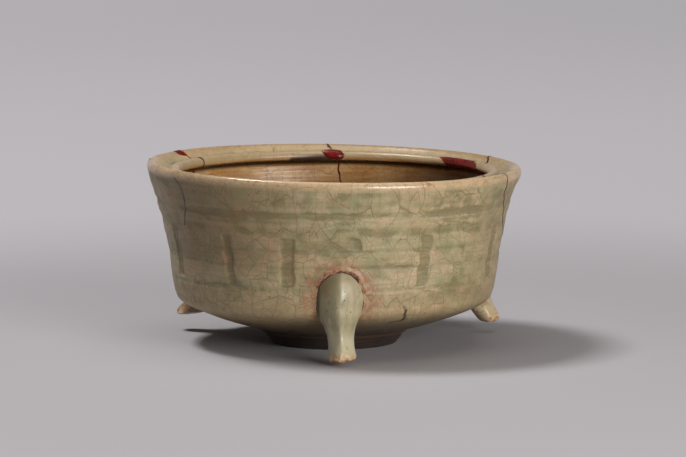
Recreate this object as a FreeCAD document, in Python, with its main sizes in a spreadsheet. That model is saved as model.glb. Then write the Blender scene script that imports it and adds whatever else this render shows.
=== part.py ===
import FreeCAD, Part
import math
import os
import re
import Sketcher
from FreeCAD import Placement, Rotation, Vector

# Tripod censer: a thrown stoneware bowl with a flanged mouth, a foot ring,
# three pressed legs luted on with slip, and three rim sherds set back with lacquer.
# Millimetres. Z is up, the origin is on the table under the centre of the bowl,
# and the front of the vessel faces -Y.

# Driving dimensions. Angles are in degrees round the vessel, from the front,
# positive towards the right as one faces it.
SIZES = {
    # the bowl as a whole
    "mouth_radius": 118.0,
    "rim_height": 113.5,
    "wall_thickness": 6.5,
    "floor_thickness": 8.5,
    # the foot ring
    "foot_height": 7.6,
    "foot_top_radius": 44.5,
    "foot_base_radius": 39.5,
    "foot_wall": 6.0,
    "foot_bevel": 0.8,
    # the underside and the rounded edge at the bottom of the wall
    "foot_shoulder": 1.2,
    "base_round": 5.4,
    "inner_round": 10.0,
    "inner_sweep": 13.0,
    # the turned bands of the wall, from the rim down to the base edge
    "neck_height": 18.6,
    "deep_groove": 3.3,
    "ridge_one": 3.4,
    "fine_groove": 1.0,
    "ridge_two": 2.6,
    "sunk_band": 5.9,
    "row_one": 8.6,
    "groove_one": 1.0,
    "row_two": 9.0,
    "groove_two": 1.4,
    "row_three": 12.2,
    "low_ridge_gap": 2.9,
    "low_ridge_width": 1.6,
    "low_band_height": 16.3,
    # how far the wall draws in: under the lip, down to the trigrams, over them and below them
    "neck_inset": 4.6,
    "shoulder_flare": 4.5,
    "band_flare": 6.0,
    "low_flare": 2.5,
    "bar_rise": 0.5,
    "ridge_rise": 0.5,
    "groove_depth": 0.7,
    # the flanged mouth
    "lip_round": 3.2,
    "lip_drop": 6.4,
    "lip_proud": 0.7,
    "channel_depth": 4.1,
    "crest_fall": 7.0,
    "bead_round": 3.1,
    "bead_drop": 2.7,
    "mouth_ring_width": 20.8,
    "flange_thickness": 5.0,
    # the recessed gaps that divide the eight trigrams
    "divider_width": 8.6,
    "bar_gap_width": 6.4,
    "gap_depth": 1.3,
    # the legs
    "leg_climb": 24.6,
    "leg_half_width": 14.6,
    "leg_bulge": 11.4,
    "toe_reach": 13.8,
    "leg_root_depth": 21.7,
    "front_leg_angle": 2.1,
    "right_leg_angle": 113.0,
    "left_leg_angle": -118.5,
    "front_leg_lift": 2.0,
    "right_leg_lift": 7.0,
    "left_leg_lift": 11.0,
    "luting_width": 3.4,
    "luting_proud": 1.2,
    "luting_gap": 4.8,
    # the repairs
    "seam_width": 1.2,
    "block_reach": 19.5,
    "bead_cut_depth": 12.4,
    "bead_fill_depth": 4.2,
    "back_fill_depth": 7.0,
    "right_fill_start": 110.5,
    "right_fill_span": 25.0,
    "back_fill_start": 177.0,
    "back_fill_span": 7.5,
    "lip_fill_angle": -121.0,
    "lip_fill_size": 4.6,
    "lip_fill_depth": 4.0,
    "lip_chip_angle": -93.0,
    "lip_chip_radius": 2.6,
    # how far a cutting shape runs past what it cuts
    "cutter_overrun": 4.0,
}

# Dividers between the trigrams, by angle, and the gaps in their broken bars.
# Rows count from the top: each gap runs from its first row to its last.
DIVIDER_ANGLES = (-66.0, -15.8, 31.8, 68.0, 113.2, 158.4, 203.6, 248.8)
BROKEN_BARS = (
    (-38.0, 1, 3),
    (7.2, 1, 1),
    (90.6, 1, 1),
    (90.6, 3, 3),
    (135.8, 2, 3),
    (181.0, 1, 2),
    (226.2, 3, 3),
    (271.4, 2, 2),
)

# Each sherd's outline on the wall: angle, and height as a share of the rim's height.
# The first and last points are on the rim; the others go down, along and up again.
RIGHT_SHERD_SHARES = (
    (66.0, 1.0), (73.5, 0.75), (84.0, 0.62), (104.0, 0.53), (119.0, 0.65), (115.0, 0.93), (120.0, 1.0))
BACK_SHERD_SHARES = (
    (120.0, 1.0), (115.0, 0.93), (119.0, 0.65), (148.0, 0.58), (176.0, 0.70), (178.5, 0.87), (181.5, 1.0))
LEFT_BACK_SHERD_SHARES = (
    (181.5, 1.0), (178.5, 0.87), (176.0, 0.70), (203.0, 0.62), (236.0, 0.72), (239.5, 1.0))

# The underside's gentle hollow: way out and way up, as shares
UNDERSIDE_SHARES = ((0.30, 0.17), (0.66, 0.53))

# Sections of a leg where it lies against the wall: height as a share of its climb over
# the base edge, half width, and how far it stands off the wall.
UPPER_LEG_SHARES = (
    (0.15, 0.97, 1.00),
    (0.36, 1.00, 0.95),
    (0.575, 0.92, 0.79),
    (0.765, 0.76, 0.56),
    (0.915, 0.52, 0.33),
    (1.00, 0.28, 0.16),
)
# Sections below that: height as a share of the base edge's, half width, and set-back
# from the toe of the outer and of the inner face.
LOWER_LEG_SHARES = (
    (0.00, 0.36, 0.16, 0.44),
    (0.06, 0.50, 0.05, 0.53),
    (0.16, 0.56, 0.00, 0.62),
    (0.31, 0.53, 0.12, 0.72),
    (0.46, 0.53, 0.22, 0.86),
    (0.63, 0.60, 0.21, 1.00),
    (0.80, 0.72, 0.15, 0.90),
    (0.97, 0.87, 0.08, 0.82),
)
SECTION_POINTS = 8
SECTION_FULLNESS_SHARE = 0.78

doc = FreeCAD.newDocument("tripod_censer")
sheet = doc.addObject("Spreadsheet::Sheet", "Sizes")
for row, (alias, number) in enumerate(SIZES.items(), start=1):
    sheet.set("A%d" % row, alias)
    sheet.set("B%d" % row, str(number))
    sheet.setAlias("B%d" % row, alias)
doc.recompute()


def size(alias):
    """A driving dimension, read from the sheet."""
    return float(sheet.get(alias))


def bound(text):
    """An expression on the sheet, from text that names its aliases."""
    return re.sub(r"[a-z]+(?:_[a-z]+)+", lambda word: "Sizes." + word.group(0), text)


def value(text):
    """The present value of such an expression."""
    return float(sheet.evalExpression(bound(text)))


def azimuth(degrees):
    """Direction round the vessel as an angle in radians from +X."""
    return math.radians(degrees - 90.0)


def spot(radius, degrees, height):
    """A point at a radius, an angle from the front and a height."""
    turn = azimuth(degrees)
    return Vector(radius * math.cos(turn), radius * math.sin(turn), height)


# Heights on the wall, from the rim down, as text on the sheet
NECK_LOW = "(rim_height - neck_height)"
RIDGE_ONE_TOP = "(%s - deep_groove)" % NECK_LOW
RIDGE_ONE_LOW = "(%s - ridge_one)" % RIDGE_ONE_TOP
RIDGE_TWO_TOP = "(%s - fine_groove)" % RIDGE_ONE_LOW
RIDGE_TWO_LOW = "(%s - ridge_two)" % RIDGE_TWO_TOP
BAND_TOP = "(%s - sunk_band)" % RIDGE_TWO_LOW
ROW_ONE_LOW = "(%s - row_one)" % BAND_TOP
ROW_TWO_TOP = "(%s - groove_one)" % ROW_ONE_LOW
ROW_TWO_LOW = "(%s - row_two)" % ROW_TWO_TOP
ROW_THREE_TOP = "(%s - groove_two)" % ROW_TWO_LOW
BAND_LOW = "(%s - row_three)" % ROW_THREE_TOP
LOW_RIDGE_TOP = "(%s - low_ridge_gap)" % BAND_LOW
LOW_RIDGE_LOW = "(%s - low_ridge_width)" % LOW_RIDGE_TOP
BASE_EDGE_HEIGHT = "(%s - low_band_height)" % BAND_LOW
ROW_BOUNDS = {
    1: (ROW_ONE_LOW, BAND_TOP),
    2: (ROW_TWO_LOW, ROW_TWO_TOP),
    3: (BAND_LOW, ROW_THREE_TOP),
}

# Radii, from the mouth down and inwards
NECK_RADIUS = "(mouth_radius - neck_inset)"
BAND_TOP_RADIUS = "(%s - shoulder_flare)" % NECK_RADIUS
BAND_LOW_RADIUS = "(%s - band_flare)" % BAND_TOP_RADIUS
BASE_EDGE_RADIUS = "(%s - low_flare)" % BAND_LOW_RADIUS
MOUTH_INNER_RADIUS = "(mouth_radius - mouth_ring_width)"
TOE_RADIUS = "(%s + toe_reach)" % BASE_EDGE_RADIUS


def between(height, low, top):
    """Wall radius at a height, on the straight line between two stations."""
    low_radius, low_height = low
    top_radius, top_height = top
    return "(%s + (%s - %s) * (%s - %s) / (%s - %s))" % (
        low_radius, top_radius, low_radius, height, low_height, top_height, low_height)


BASE_STATION = (BASE_EDGE_RADIUS, BASE_EDGE_HEIGHT)
BAND_LOW_STATION = (BAND_LOW_RADIUS, BAND_LOW)
BAND_TOP_STATION = (BAND_TOP_RADIUS, BAND_TOP)
NECK_STATION = (NECK_RADIUS, NECK_LOW)


def wall_radius(height):
    """Radius of the wall's ground surface at a height in millimetres."""
    stations = [(value(radius), value(level))
                for radius, level in (BASE_STATION, BAND_LOW_STATION, BAND_TOP_STATION, NECK_STATION)]
    for (low_radius, low), (top_radius, top) in zip(stations, stations[1:]):
        if height <= top:
            break
    return low_radius + (top_radius - low_radius) * (height - low) / (top - low)


def arc_through(start, end, radius, side):
    """An arc between two points; side 1 bulges to the left of the way, -1 to the right."""
    chord = end - start
    half = chord.Length / 2
    rise = radius - math.sqrt(max(radius * radius - half * half, 0.0))
    left = Vector(-chord.y, chord.x, 0).normalize()
    return Part.Arc(start, (start + end) / 2 + left * rise * side, end)


def outline(body, name, points):
    """A closed outline in the body's XZ plane, every corner and arc tied to the sheet."""
    sketch = body.newObject("Sketcher::SketchObject", name)
    plane = [item for item in body.Origin.OriginFeatures if item.Role == "XZ_Plane"][0]
    sketch.AttachmentSupport = (plane, [""])
    sketch.MapMode = "FlatFace"
    corners = [Vector(value(point[0]), value(point[1]), 0) for point in points]
    ends = []
    for index, point in enumerate(points):
        start = corners[index]
        end = corners[(index + 1) % len(points)]
        if len(point) == 2:
            sketch.addGeometry(Part.LineSegment(start, end), False)
            ends.append((1, 2))
        else:
            arc = arc_through(start, end, value(point[2]), point[3])
            sketch.addGeometry(arc, False)
            drawn = sketch.Geometry[index]
            ends.append((1, 2) if drawn.StartPoint.isEqual(start, 1e-6) else (2, 1))
    for index, point in enumerate(points):
        after = (index + 1) % len(points)
        sketch.addConstraint(Sketcher.Constraint("Coincident", index, ends[index][1], after, ends[after][0]))
    for index, point in enumerate(points):
        bind_corner(sketch, index, ends[index][0], point[0], "DistanceX", -2)
        bind_corner(sketch, index, ends[index][0], point[1], "DistanceY", -1)
        if len(point) > 2:
            place = sketch.addConstraint(Sketcher.Constraint("Radius", index, value(point[2])))
            sketch.setExpression("Constraints[%d]" % place, bound(point[2]))
    return sketch


def bind_corner(sketch, index, end, text, kind, axis):
    """Ties one coordinate of a corner to the sheet, or puts the corner on the axis."""
    if text == "0":
        sketch.addConstraint(Sketcher.Constraint("PointOnObject", index, end, axis))
        return
    place = sketch.addConstraint(Sketcher.Constraint(kind, -1, 1, index, end, value(text)))
    sketch.setExpression("Constraints[%d]" % place, bound(text))


def common(label, base, tool):
    feature = doc.addObject("Part::Common", label)
    feature.Base = base
    feature.Tool = tool
    return feature


def cut(label, base, tool):
    feature = doc.addObject("Part::Cut", label)
    feature.Base = base
    feature.Tool = tool
    return feature


def fuse(label, shapes):
    feature = doc.addObject("Part::MultiFuse", label)
    feature.Shapes = shapes
    return feature


def turned_body(label, points):
    """A body turned on the wheel: its outline revolved about the vertical axis."""
    body = doc.addObject("PartDesign::Body", label)
    sketch = outline(body, label + "_outline", points)
    turned = body.newObject("PartDesign::Revolution", label + "_turned")
    turned.Profile = (sketch, [""])
    turned.ReferenceAxis = (sketch, ["V_Axis"])
    turned.Angle = 360.0
    return body


def wall_outline():
    """The outer wall from the base edge to the neck, with its turned bands."""
    low = (BASE_STATION, BAND_LOW_STATION)
    band = (BAND_LOW_STATION, BAND_TOP_STATION)
    high = (BAND_TOP_STATION, NECK_STATION)
    steps = (
        (LOW_RIDGE_LOW, low, ""),
        (LOW_RIDGE_LOW, low, " + ridge_rise"),
        (LOW_RIDGE_TOP, low, " + ridge_rise"),
        (LOW_RIDGE_TOP, low, ""),
        (BAND_LOW, low, ""),
        (BAND_LOW, band, " + bar_rise"),
        (ROW_THREE_TOP, band, " + bar_rise"),
        (ROW_THREE_TOP, band, " - groove_depth"),
        (ROW_TWO_LOW, band, " - groove_depth"),
        (ROW_TWO_LOW, band, " + bar_rise"),
        (ROW_TWO_TOP, band, " + bar_rise"),
        (ROW_TWO_TOP, band, " - groove_depth / 2"),
        (ROW_ONE_LOW, band, " - groove_depth / 2"),
        (ROW_ONE_LOW, band, " + bar_rise"),
        (BAND_TOP, band, " + bar_rise"),
        (BAND_TOP, high, " - groove_depth / 2"),
        (RIDGE_TWO_LOW, high, " - groove_depth / 2"),
        (RIDGE_TWO_LOW, high, " + ridge_rise"),
        (RIDGE_TWO_TOP, high, " + ridge_rise"),
        (RIDGE_TWO_TOP, high, " - groove_depth / 2"),
        (RIDGE_ONE_LOW, high, " - groove_depth / 2"),
        (RIDGE_ONE_LOW, high, " + ridge_rise"),
        (RIDGE_ONE_TOP, high, " + ridge_rise"),
        (RIDGE_ONE_TOP, high, " - groove_depth"),
        (NECK_LOW, high, " - groove_depth"),
        (NECK_LOW, high, " + ridge_rise"),
    )
    return [(between(height, *span) + rise, height) for height, span, rise in steps]


def mouth_outline():
    """The lip, the shallow channel behind it and the bead round the opening."""
    bead_centre = "(%s + bead_round)" % MOUTH_INNER_RADIUS
    bead_height = "(rim_height - bead_drop - bead_round)"
    channel_end = "(rim_height - channel_depth)"
    bead_reach = "sqrt(bead_round ^ 2 - (%s - %s) ^ 2)" % (channel_end, bead_height)
    flange_low = "(rim_height - channel_depth - flange_thickness)"
    return [
        ("mouth_radius - lip_proud", "rim_height - lip_drop"),
        ("mouth_radius", "rim_height - lip_round", "lip_round", -1),
        ("mouth_radius - lip_round", "rim_height"),
        ("mouth_radius - lip_round - crest_fall", channel_end),
        ("%s + %s" % (bead_centre, bead_reach), channel_end, "bead_round", -1),
        (MOUTH_INNER_RADIUS, bead_height, "bead_round", -1),
        (bead_centre, "%s - bead_round" % bead_height),
        (NECK_RADIUS + " - wall_thickness", flange_low),
    ]


def inner_outline():
    """The inner wall and floor, down to the middle."""
    return [
        (BAND_TOP_RADIUS + " - wall_thickness", BAND_TOP),
        (BAND_LOW_RADIUS + " - wall_thickness", BAND_LOW),
        (BASE_EDGE_RADIUS + " - wall_thickness", BASE_EDGE_HEIGHT + " + wall_thickness", "inner_sweep", -1),
        (BASE_EDGE_RADIUS + " - wall_thickness - inner_round",
         BASE_EDGE_HEIGHT + " - base_round + floor_thickness / 2"),
        ("foot_top_radius", "foot_height + floor_thickness"),
        ("0", "foot_height + floor_thickness"),
    ]


def underside_outline():
    """The underside from the middle to the rounded edge of the base."""
    start = "(foot_top_radius + foot_shoulder)"
    edge = "(%s - base_round)" % BASE_EDGE_RADIUS
    rise = "(%s - base_round - foot_height)" % BASE_EDGE_HEIGHT
    points = [("0", "foot_height"), (start, "foot_height")]
    for out_share, up_share in UNDERSIDE_SHARES:
        points.append(("%s + (%s - %s) * %g" % (start, edge, start, out_share),
                       "foot_height + %s * %g" % (rise, up_share)))
    points.append((edge, BASE_EDGE_HEIGHT + " - base_round", "base_round", -1))
    points.append(BASE_STATION)
    return points


def trigram_gap(number, width, angle, first, last):
    """A box that takes one gap out of the trigram band, its floor parallel to the wall."""
    low = ROW_BOUNDS[last][0]
    top = ROW_BOUNDS[first][1]
    lean = math.atan2(size("band_flare"), value(BAND_TOP) - value(BAND_LOW))
    box = doc.addObject("Part::Box", "trigram_gap_%d" % number)
    box.setExpression("Length", bound("gap_depth + cutter_overrun"))
    box.setExpression("Width", bound(width))
    box.setExpression("Height", bound("(%s - %s)" % (top, low)) + " / cos(%g)" % math.degrees(lean))
    floor_radius = value(between(low, BAND_LOW_STATION, BAND_TOP_STATION) + " + bar_rise - gap_depth")
    turn = Rotation(Vector(0, 0, 1), math.degrees(azimuth(angle)))
    tilt = Rotation(Vector(0, 1, 0), math.degrees(lean))
    corner = Vector(floor_radius, -size(width) / 2, value(low))
    box.Placement = Placement(turn.multVec(corner), turn.multiply(tilt))
    return box


def vessel_blank():
    """The whole bowl as it was before it broke, with its trigrams."""
    points = underside_outline() + wall_outline() + mouth_outline() + inner_outline()
    thrown = turned_body("thrown_bowl", points)
    gaps = [("divider_width", angle, 1, 3) for angle in DIVIDER_ANGLES]
    gaps += [("bar_gap_width", angle, first, last) for angle, first, last in BROKEN_BARS]
    boxes = doc.addObject("Part::Compound", "trigram_gaps")
    boxes.Links = [trigram_gap(number, *gap) for number, gap in enumerate(gaps, start=1)]
    return cut("vessel_blank", thrown, boxes)


def loft_feature(label, wires):
    """A solid drawn through closed wires."""
    feature = doc.addObject("Part::Feature", label)
    feature.Shape = Part.makeLoft(wires, True, len(wires) == 2)
    return feature


def sherd_block(label, shares, grow_left, grow_right, grow_low):
    """A block that takes one sherd out of the wall; its sides all point at the axis."""
    rim = size("rim_height")
    near = value(BASE_EDGE_RADIUS + " - block_reach")
    far = size("mouth_radius") + size("cutter_overrun")
    seam_turn = math.degrees(size("seam_width") / size("mouth_radius"))
    angles = [angle for angle, share in shares]
    middle = (angles[0] + angles[-1]) / 2
    corners = []
    for place, (angle, share) in enumerate(shares):
        on_rim = place in (0, len(shares) - 1)
        height = rim * share + (size("cutter_overrun") if on_rim else -grow_low * size("seam_width"))
        grow = grow_right if angle > middle else -grow_left
        corners.append((angle + grow * seam_turn, height))
    wires = []
    for reach in (near, far):
        ring = [spot(reach / math.cos(math.radians(angle - middle)), angle, height)
                for angle, height in corners]
        wires.append(Part.makePolygon(ring + ring[:1]))
    return loft_feature(label, wires)


def bead_sector(label, depth, start, span):
    """A sector that takes a length of bead out of the mouth."""
    sector = doc.addObject("Part::Cylinder", label)
    sector.setExpression("Radius", bound(MOUTH_INNER_RADIUS + " + " + depth))
    sector.setExpression("Height", bound("bead_cut_depth + cutter_overrun"))
    sector.setExpression("Angle", bound(span))
    low = value("rim_height - bead_drop - bead_cut_depth")
    turn = Rotation(Vector(0, 0, 1), math.degrees(azimuth(size(start))))
    sector.Placement = Placement(Vector(0, 0, low), turn)
    return sector


def lip_prism():
    """A three-sided plug let into the crest of the lip."""
    prism = doc.addObject("Part::Prism", "lip_fill_shape")
    prism.Polygon = 3
    prism.setExpression("Circumradius", bound("lip_fill_size"))
    prism.setExpression("Height", bound("lip_fill_depth + cutter_overrun"))
    radius = value("mouth_radius - lip_round - crest_fall / 2")
    angle = size("lip_fill_angle")
    inwards = Rotation(Vector(0, 0, 1), math.degrees(azimuth(angle) + math.pi))
    prism.Placement = Placement(spot(radius, angle, value("rim_height - lip_fill_depth")), inwards)
    return prism


def lip_ball():
    """A small round chip out of the edge of the lip."""
    ball = doc.addObject("Part::Sphere", "lip_chip_shape")
    ball.setExpression("Radius", bound("lip_chip_radius"))
    place = spot(value("mouth_radius - lip_chip_radius / 4"), size("lip_chip_angle"),
                 value("rim_height - lip_round"))
    ball.Placement = Placement(place, Rotation())
    return ball


def leg_section(height, half_width, inner, outer):
    """A rounded closed section across a leg that stands on the X axis."""
    middle = (inner + outer) / 2
    depth = (outer - inner) / 2
    points = []
    for index in range(SECTION_POINTS):
        turn = 2 * math.pi * index / SECTION_POINTS
        along = math.cos(turn)
        across = math.sin(turn)
        points.append(Vector(middle + depth * math.copysign(abs(along) ** SECTION_FULLNESS_SHARE, along),
                             half_width * math.copysign(abs(across) ** SECTION_FULLNESS_SHARE, across),
                             height))
    curve = Part.BSplineCurve()
    curve.interpolate(points, PeriodicFlag=True)
    return Part.Wire(curve.toShape())


def leg_shape(label, angle, lift, grow):
    """A cabriole leg: a drop on the wall, a narrow ankle and a toe turned out."""
    edge = value(BASE_EDGE_HEIGHT)
    wide = size("leg_half_width")
    toe = value(TOE_RADIUS)
    wires = []
    for up, width, back, inner in LOWER_LEG_SHARES:
        out = toe - back * size("leg_root_depth")
        inside = toe - inner * size("leg_root_depth")
        wires.append(leg_section(lift + up * edge, wide * width + grow, inside - grow, out + grow))
    for up, width, off in UPPER_LEG_SHARES:
        height = lift + edge + up * size("leg_climb")
        wall = wall_radius(height)
        rise = grow if up == 1.0 else 0.0
        wires.append(leg_section(height + rise, wide * width + grow, wall - size("wall_thickness") / 2,
                                 wall + off * size("leg_bulge") + grow))
    feature = loft_feature(label, wires)
    feature.Placement = Placement(Vector(), Rotation(Vector(0, 0, 1), math.degrees(azimuth(angle))))
    return feature


def luting_skin():
    """A thin layer over the underside and lower wall, where the slip lies."""
    half = "wall_thickness / 2"
    over = "(luting_proud + bar_rise)"
    start = "(foot_top_radius + luting_gap)"
    points = [
        (start, "foot_height"),
        (BASE_EDGE_RADIUS + " - base_round", BASE_EDGE_HEIGHT + " - base_round - luting_proud",
         "base_round + luting_proud", -1),
        (BASE_EDGE_RADIUS + " + luting_proud", BASE_EDGE_HEIGHT),
        (BAND_LOW_RADIUS + " + " + over, BAND_LOW),
        (BAND_TOP_RADIUS + " + " + over, BAND_TOP),
        (BAND_TOP_RADIUS + " - " + half, BAND_TOP),
        (BAND_LOW_RADIUS + " - " + half, BAND_LOW),
        (BASE_EDGE_RADIUS + " - " + half, BASE_EDGE_HEIGHT + " + " + half),
        (start, "foot_height + %s" % half),
    ]
    return turned_body("luting_skin", points)


def foot_ring():
    """The foot ring, tapering downwards, with its edges turned off."""
    inner = "(foot_base_radius - foot_wall)"
    points = [
        (inner, "foot_height"),
        (inner, "foot_bevel"),
        ("%s + foot_bevel" % inner, "0"),
        ("foot_base_radius - foot_bevel", "0"),
        ("foot_base_radius", "foot_bevel"),
        ("foot_top_radius", "foot_height"),
    ]
    return turned_body("foot_ring", points)


def build_vessel():
    """The bowl, its three sherds, the lacquer between them and the made-up bits."""
    blank = vessel_blank()
    right = sherd_block("right_block", RIGHT_SHERD_SHARES, 0, 0, 0)
    right_grown = sherd_block("right_block_grown", RIGHT_SHERD_SHARES, 1, 1, 1)
    back = sherd_block("back_block", BACK_SHERD_SHARES, 0, 0, 0)
    back_grown = sherd_block("back_block_grown", BACK_SHERD_SHARES, 0, 1, 1)
    left = sherd_block("left_back_block", LEFT_BACK_SHERD_SHARES, 0, 0, 0)
    left_grown = sherd_block("left_back_block_grown", LEFT_BACK_SHERD_SHARES, 0, 1, 1)
    right_fill = bead_sector("right_fill_sector", "bead_fill_depth", "right_fill_start", "right_fill_span")
    back_fill = bead_sector("back_fill_sector", "back_fill_depth", "back_fill_start", "back_fill_span")
    lip_fill = lip_prism()
    lip_chip = lip_ball()

    fills = fuse("all_fills", [right_fill, back_fill, lip_fill, lip_chip])
    sound = cut("sound_vessel", blank, fills)
    lost = fuse("all_blocks", [right_grown, back_grown, left_grown])
    broken = common("broken_wall", sound, lost)
    past_right = cut("past_right", broken, right_grown)
    past_back = cut("past_back", past_right, back_grown)
    return [
        cut("bowl", sound, lost),
        common("right_sherd", broken, right),
        cut("right_seam_lacquer", common("right_seam_whole", broken, right_grown), right),
        common("back_sherd", past_right, back),
        cut("back_seam_lacquer", common("back_seam_whole", past_right, back_grown), back),
        common("left_back_sherd", past_back, left),
        cut("left_back_seam_lacquer", past_back, left),
        common("right_bead_fill", blank, right_fill),
        common("back_bead_fill", blank, back_fill),
        common("left_lip_fill", blank, lip_fill),
        common("left_lip_chip_fill", blank, lip_chip),
    ], blank


def build_legs(blank):
    """The three legs and the slip round each root, each cut to the bowl it sits on."""
    skin = luting_skin()
    made = []
    for side in ("front", "right", "left"):
        angle = size(side + "_leg_angle")
        lift = size(side + "_leg_lift")
        core = leg_shape(side + "_leg_core", angle, lift, 0.0)
        grown = leg_shape(side + "_leg_grown", angle, lift, size("luting_width"))
        made.append(cut(side + "_leg", core, blank))
        collar = cut(side + "_luting_pad", common(side + "_luting_whole", grown, skin), blank)
        made.append(cut(side + "_leg_luting", collar, core))
    return made


pieces, whole_blank = build_vessel()
pieces += build_legs(whole_blank)
pieces.append(foot_ring())
doc.recompute()

for item in doc.Objects:
    if "Invalid" in item.State or "Error" in item.State:
        raise RuntimeError("%s failed: %s" % (item.Label, item.State))
for piece in pieces:
    if piece.Shape.isNull() or not piece.Shape.isValid():
        raise RuntimeError("%s has no valid shape" % piece.Label)

os.makedirs("parts", exist_ok=True)
for piece in pieces:
    print("%-26s solids %d  volume %.1f" % (piece.Label, len(piece.Shape.Solids), piece.Shape.Volume))
    piece.Shape.exportStep("parts/%s.step" % piece.Label)
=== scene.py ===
import math

import bpy
import numpy as np
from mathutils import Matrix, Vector


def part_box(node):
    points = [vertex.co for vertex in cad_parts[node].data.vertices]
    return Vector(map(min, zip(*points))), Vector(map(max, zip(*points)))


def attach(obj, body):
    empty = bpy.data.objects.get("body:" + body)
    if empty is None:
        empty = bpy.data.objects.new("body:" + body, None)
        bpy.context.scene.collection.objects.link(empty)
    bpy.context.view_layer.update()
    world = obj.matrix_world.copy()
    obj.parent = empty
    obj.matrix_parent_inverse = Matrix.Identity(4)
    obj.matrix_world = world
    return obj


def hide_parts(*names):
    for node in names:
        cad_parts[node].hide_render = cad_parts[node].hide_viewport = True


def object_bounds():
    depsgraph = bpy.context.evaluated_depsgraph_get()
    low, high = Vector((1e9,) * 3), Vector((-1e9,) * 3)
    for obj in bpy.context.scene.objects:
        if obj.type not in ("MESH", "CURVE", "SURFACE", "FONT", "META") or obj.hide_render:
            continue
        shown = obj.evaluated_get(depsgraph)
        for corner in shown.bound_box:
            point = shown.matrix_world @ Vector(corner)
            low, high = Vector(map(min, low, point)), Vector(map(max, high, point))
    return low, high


# Tripod censer: a celadon bowl with a flanged mouth, eight trigrams in relief, a foot ring,
# three cabriole legs, and rim sherds set back with red lacquer.
# Shapes are worked out in millimetres and put into the scene in metres.
# Angles round the vessel are in degrees from the front, positive to the right.

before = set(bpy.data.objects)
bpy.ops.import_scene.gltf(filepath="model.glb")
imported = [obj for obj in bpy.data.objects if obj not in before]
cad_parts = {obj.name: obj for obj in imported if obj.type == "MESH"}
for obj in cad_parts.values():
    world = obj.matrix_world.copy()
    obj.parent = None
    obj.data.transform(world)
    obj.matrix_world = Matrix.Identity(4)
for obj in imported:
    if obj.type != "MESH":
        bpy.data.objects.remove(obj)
cad_low, cad_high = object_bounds()

MM = 0.001
MOUTH_RADIUS = (cad_high.x - cad_low.x) / 2 / MM
RIM_HEIGHT = cad_high.z / MM
foot_low, foot_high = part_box("foot_ring")
FOOT_HEIGHT = foot_high.z / MM
FOOT_TOP_RADIUS = foot_high.x / MM


# Small helpers

def ease(low, high, values):
    """0 below low, 1 above high, and a smooth rise between."""
    share = np.clip((np.asarray(values, float) - low) / (high - low), 0.0, 1.0)
    return share * share * (3 - 2 * share)


def unevenness(turn, height, seed, waves=7, turns=6, pitch=45.0):
    """Smooth hand-made unevenness, about -1 to 1, that closes on itself round the vessel."""
    rng = np.random.default_rng(seed)
    total = 0.0
    for _ in range(waves):
        count = rng.integers(1, turns + 1)
        climb = rng.uniform(-1.0, 1.0) * 2 * math.pi / pitch
        start = rng.uniform(0, 2 * math.pi)
        total = total + np.sin(count * np.radians(turn) + climb * np.asarray(height, float) + start)
    return total / math.sqrt(waves)


def smooth_read(at, values, where):
    """Values at some places, read smoothly between knots."""
    slopes = np.gradient(values, at, axis=0)
    knot = np.clip(np.searchsorted(at, where, side="right") - 1, 0, len(at) - 2)
    width = (at[knot + 1] - at[knot])[:, None]
    share = (where - at[knot])[:, None] / width
    return ((2 * share ** 3 - 3 * share ** 2 + 1) * values[knot]
            + (share ** 3 - 2 * share ** 2 + share) * width * slopes[knot]
            + (3 * share ** 2 - 2 * share ** 3) * values[knot + 1]
            + (share ** 3 - share ** 2) * width * slopes[knot + 1])


def lengths_along(points):
    """How far along a line of points each one lies."""
    return np.concatenate([[0.0], np.cumsum(np.linalg.norm(np.diff(points, axis=0), axis=1))])


def curve_through(points, spacing):
    """Points every so many millimetres along a smooth curve through a few given ones."""
    knots = np.asarray(points, float)
    at = lengths_along(knots)
    count = max(int(round(at[-1] / spacing)), 2)
    return smooth_read(at, knots, np.linspace(0, at[-1], count + 1))


def stations(rows, where):
    """Values at some places, read smoothly from rows that start with the place."""
    table = np.asarray(rows, float)
    return smooth_read(table[:, 0], table[:, 1:], where)


def whole_turn(count):
    """Angles all round, in radians."""
    return np.linspace(0, 2 * math.pi, count, endpoint=False)


def unit(vectors):
    """Directions, each one long."""
    return vectors / np.maximum(np.linalg.norm(vectors, axis=-1, keepdims=True), 1e-9)


def round_axis(turn, radius, height):
    """Places round the vessel's axis."""
    angle = np.radians(turn - 90.0)
    return np.stack(np.broadcast_arrays(radius * np.cos(angle), radius * np.sin(angle), height), -1)


# The bowl's section, radius and height, from under its middle round to the floor inside

UNDERSIDE_CURVE = (
    (FOOT_TOP_RADIUS + 1.1, FOOT_HEIGHT), (48.5, FOOT_HEIGHT + 2.4), (53.0, 11.3), (60.4, 13.5), (70.0, 16.5),
    (79.5, 19.8), (88.0, 23.1), (93.6, 25.6), (97.2, 27.9), (99.3, 30.3), (100.4, 33.2),
)
# Height first, from here to the lip and in the inside's curve
WALL_CURVE = ((33.2, 100.4), (40.4, 101.9), (50.6, 103.3), (60.8, 104.7), (71.0, 106.9),
              (78.7, 108.5), (86.3, 110.6), (94.0, 112.7), (99.1, 114.4), (104.2, 116.4), (107.2, 117.3))
BEAD_RADIUS = 97.2
BEAD_HEIGHT = RIM_HEIGHT - 2.6
CHANNEL_HEIGHT = RIM_HEIGHT - 4.1
# Radius and height from the lip's outermost and highest, how tan the glaze is, and how stained it is, where
# values above 1.2 paint shadow
LIP_CURVE = (
    (-0.7, -6.3, 0.0, 0.0), (-0.1, -4.0, 0.75, 0.0), (-0.3, -2.0, 1.0, 0.0), (-1.3, -0.5, 1.0, 0.0),
    (-2.9, 0.0, 1.0, 0.0), (-4.5, -0.6, 1.0, 0.0), (-6.4, -2.0, 0.7, 0.0), (-8.8, -3.4, 0.2, 0.0),
)
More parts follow.
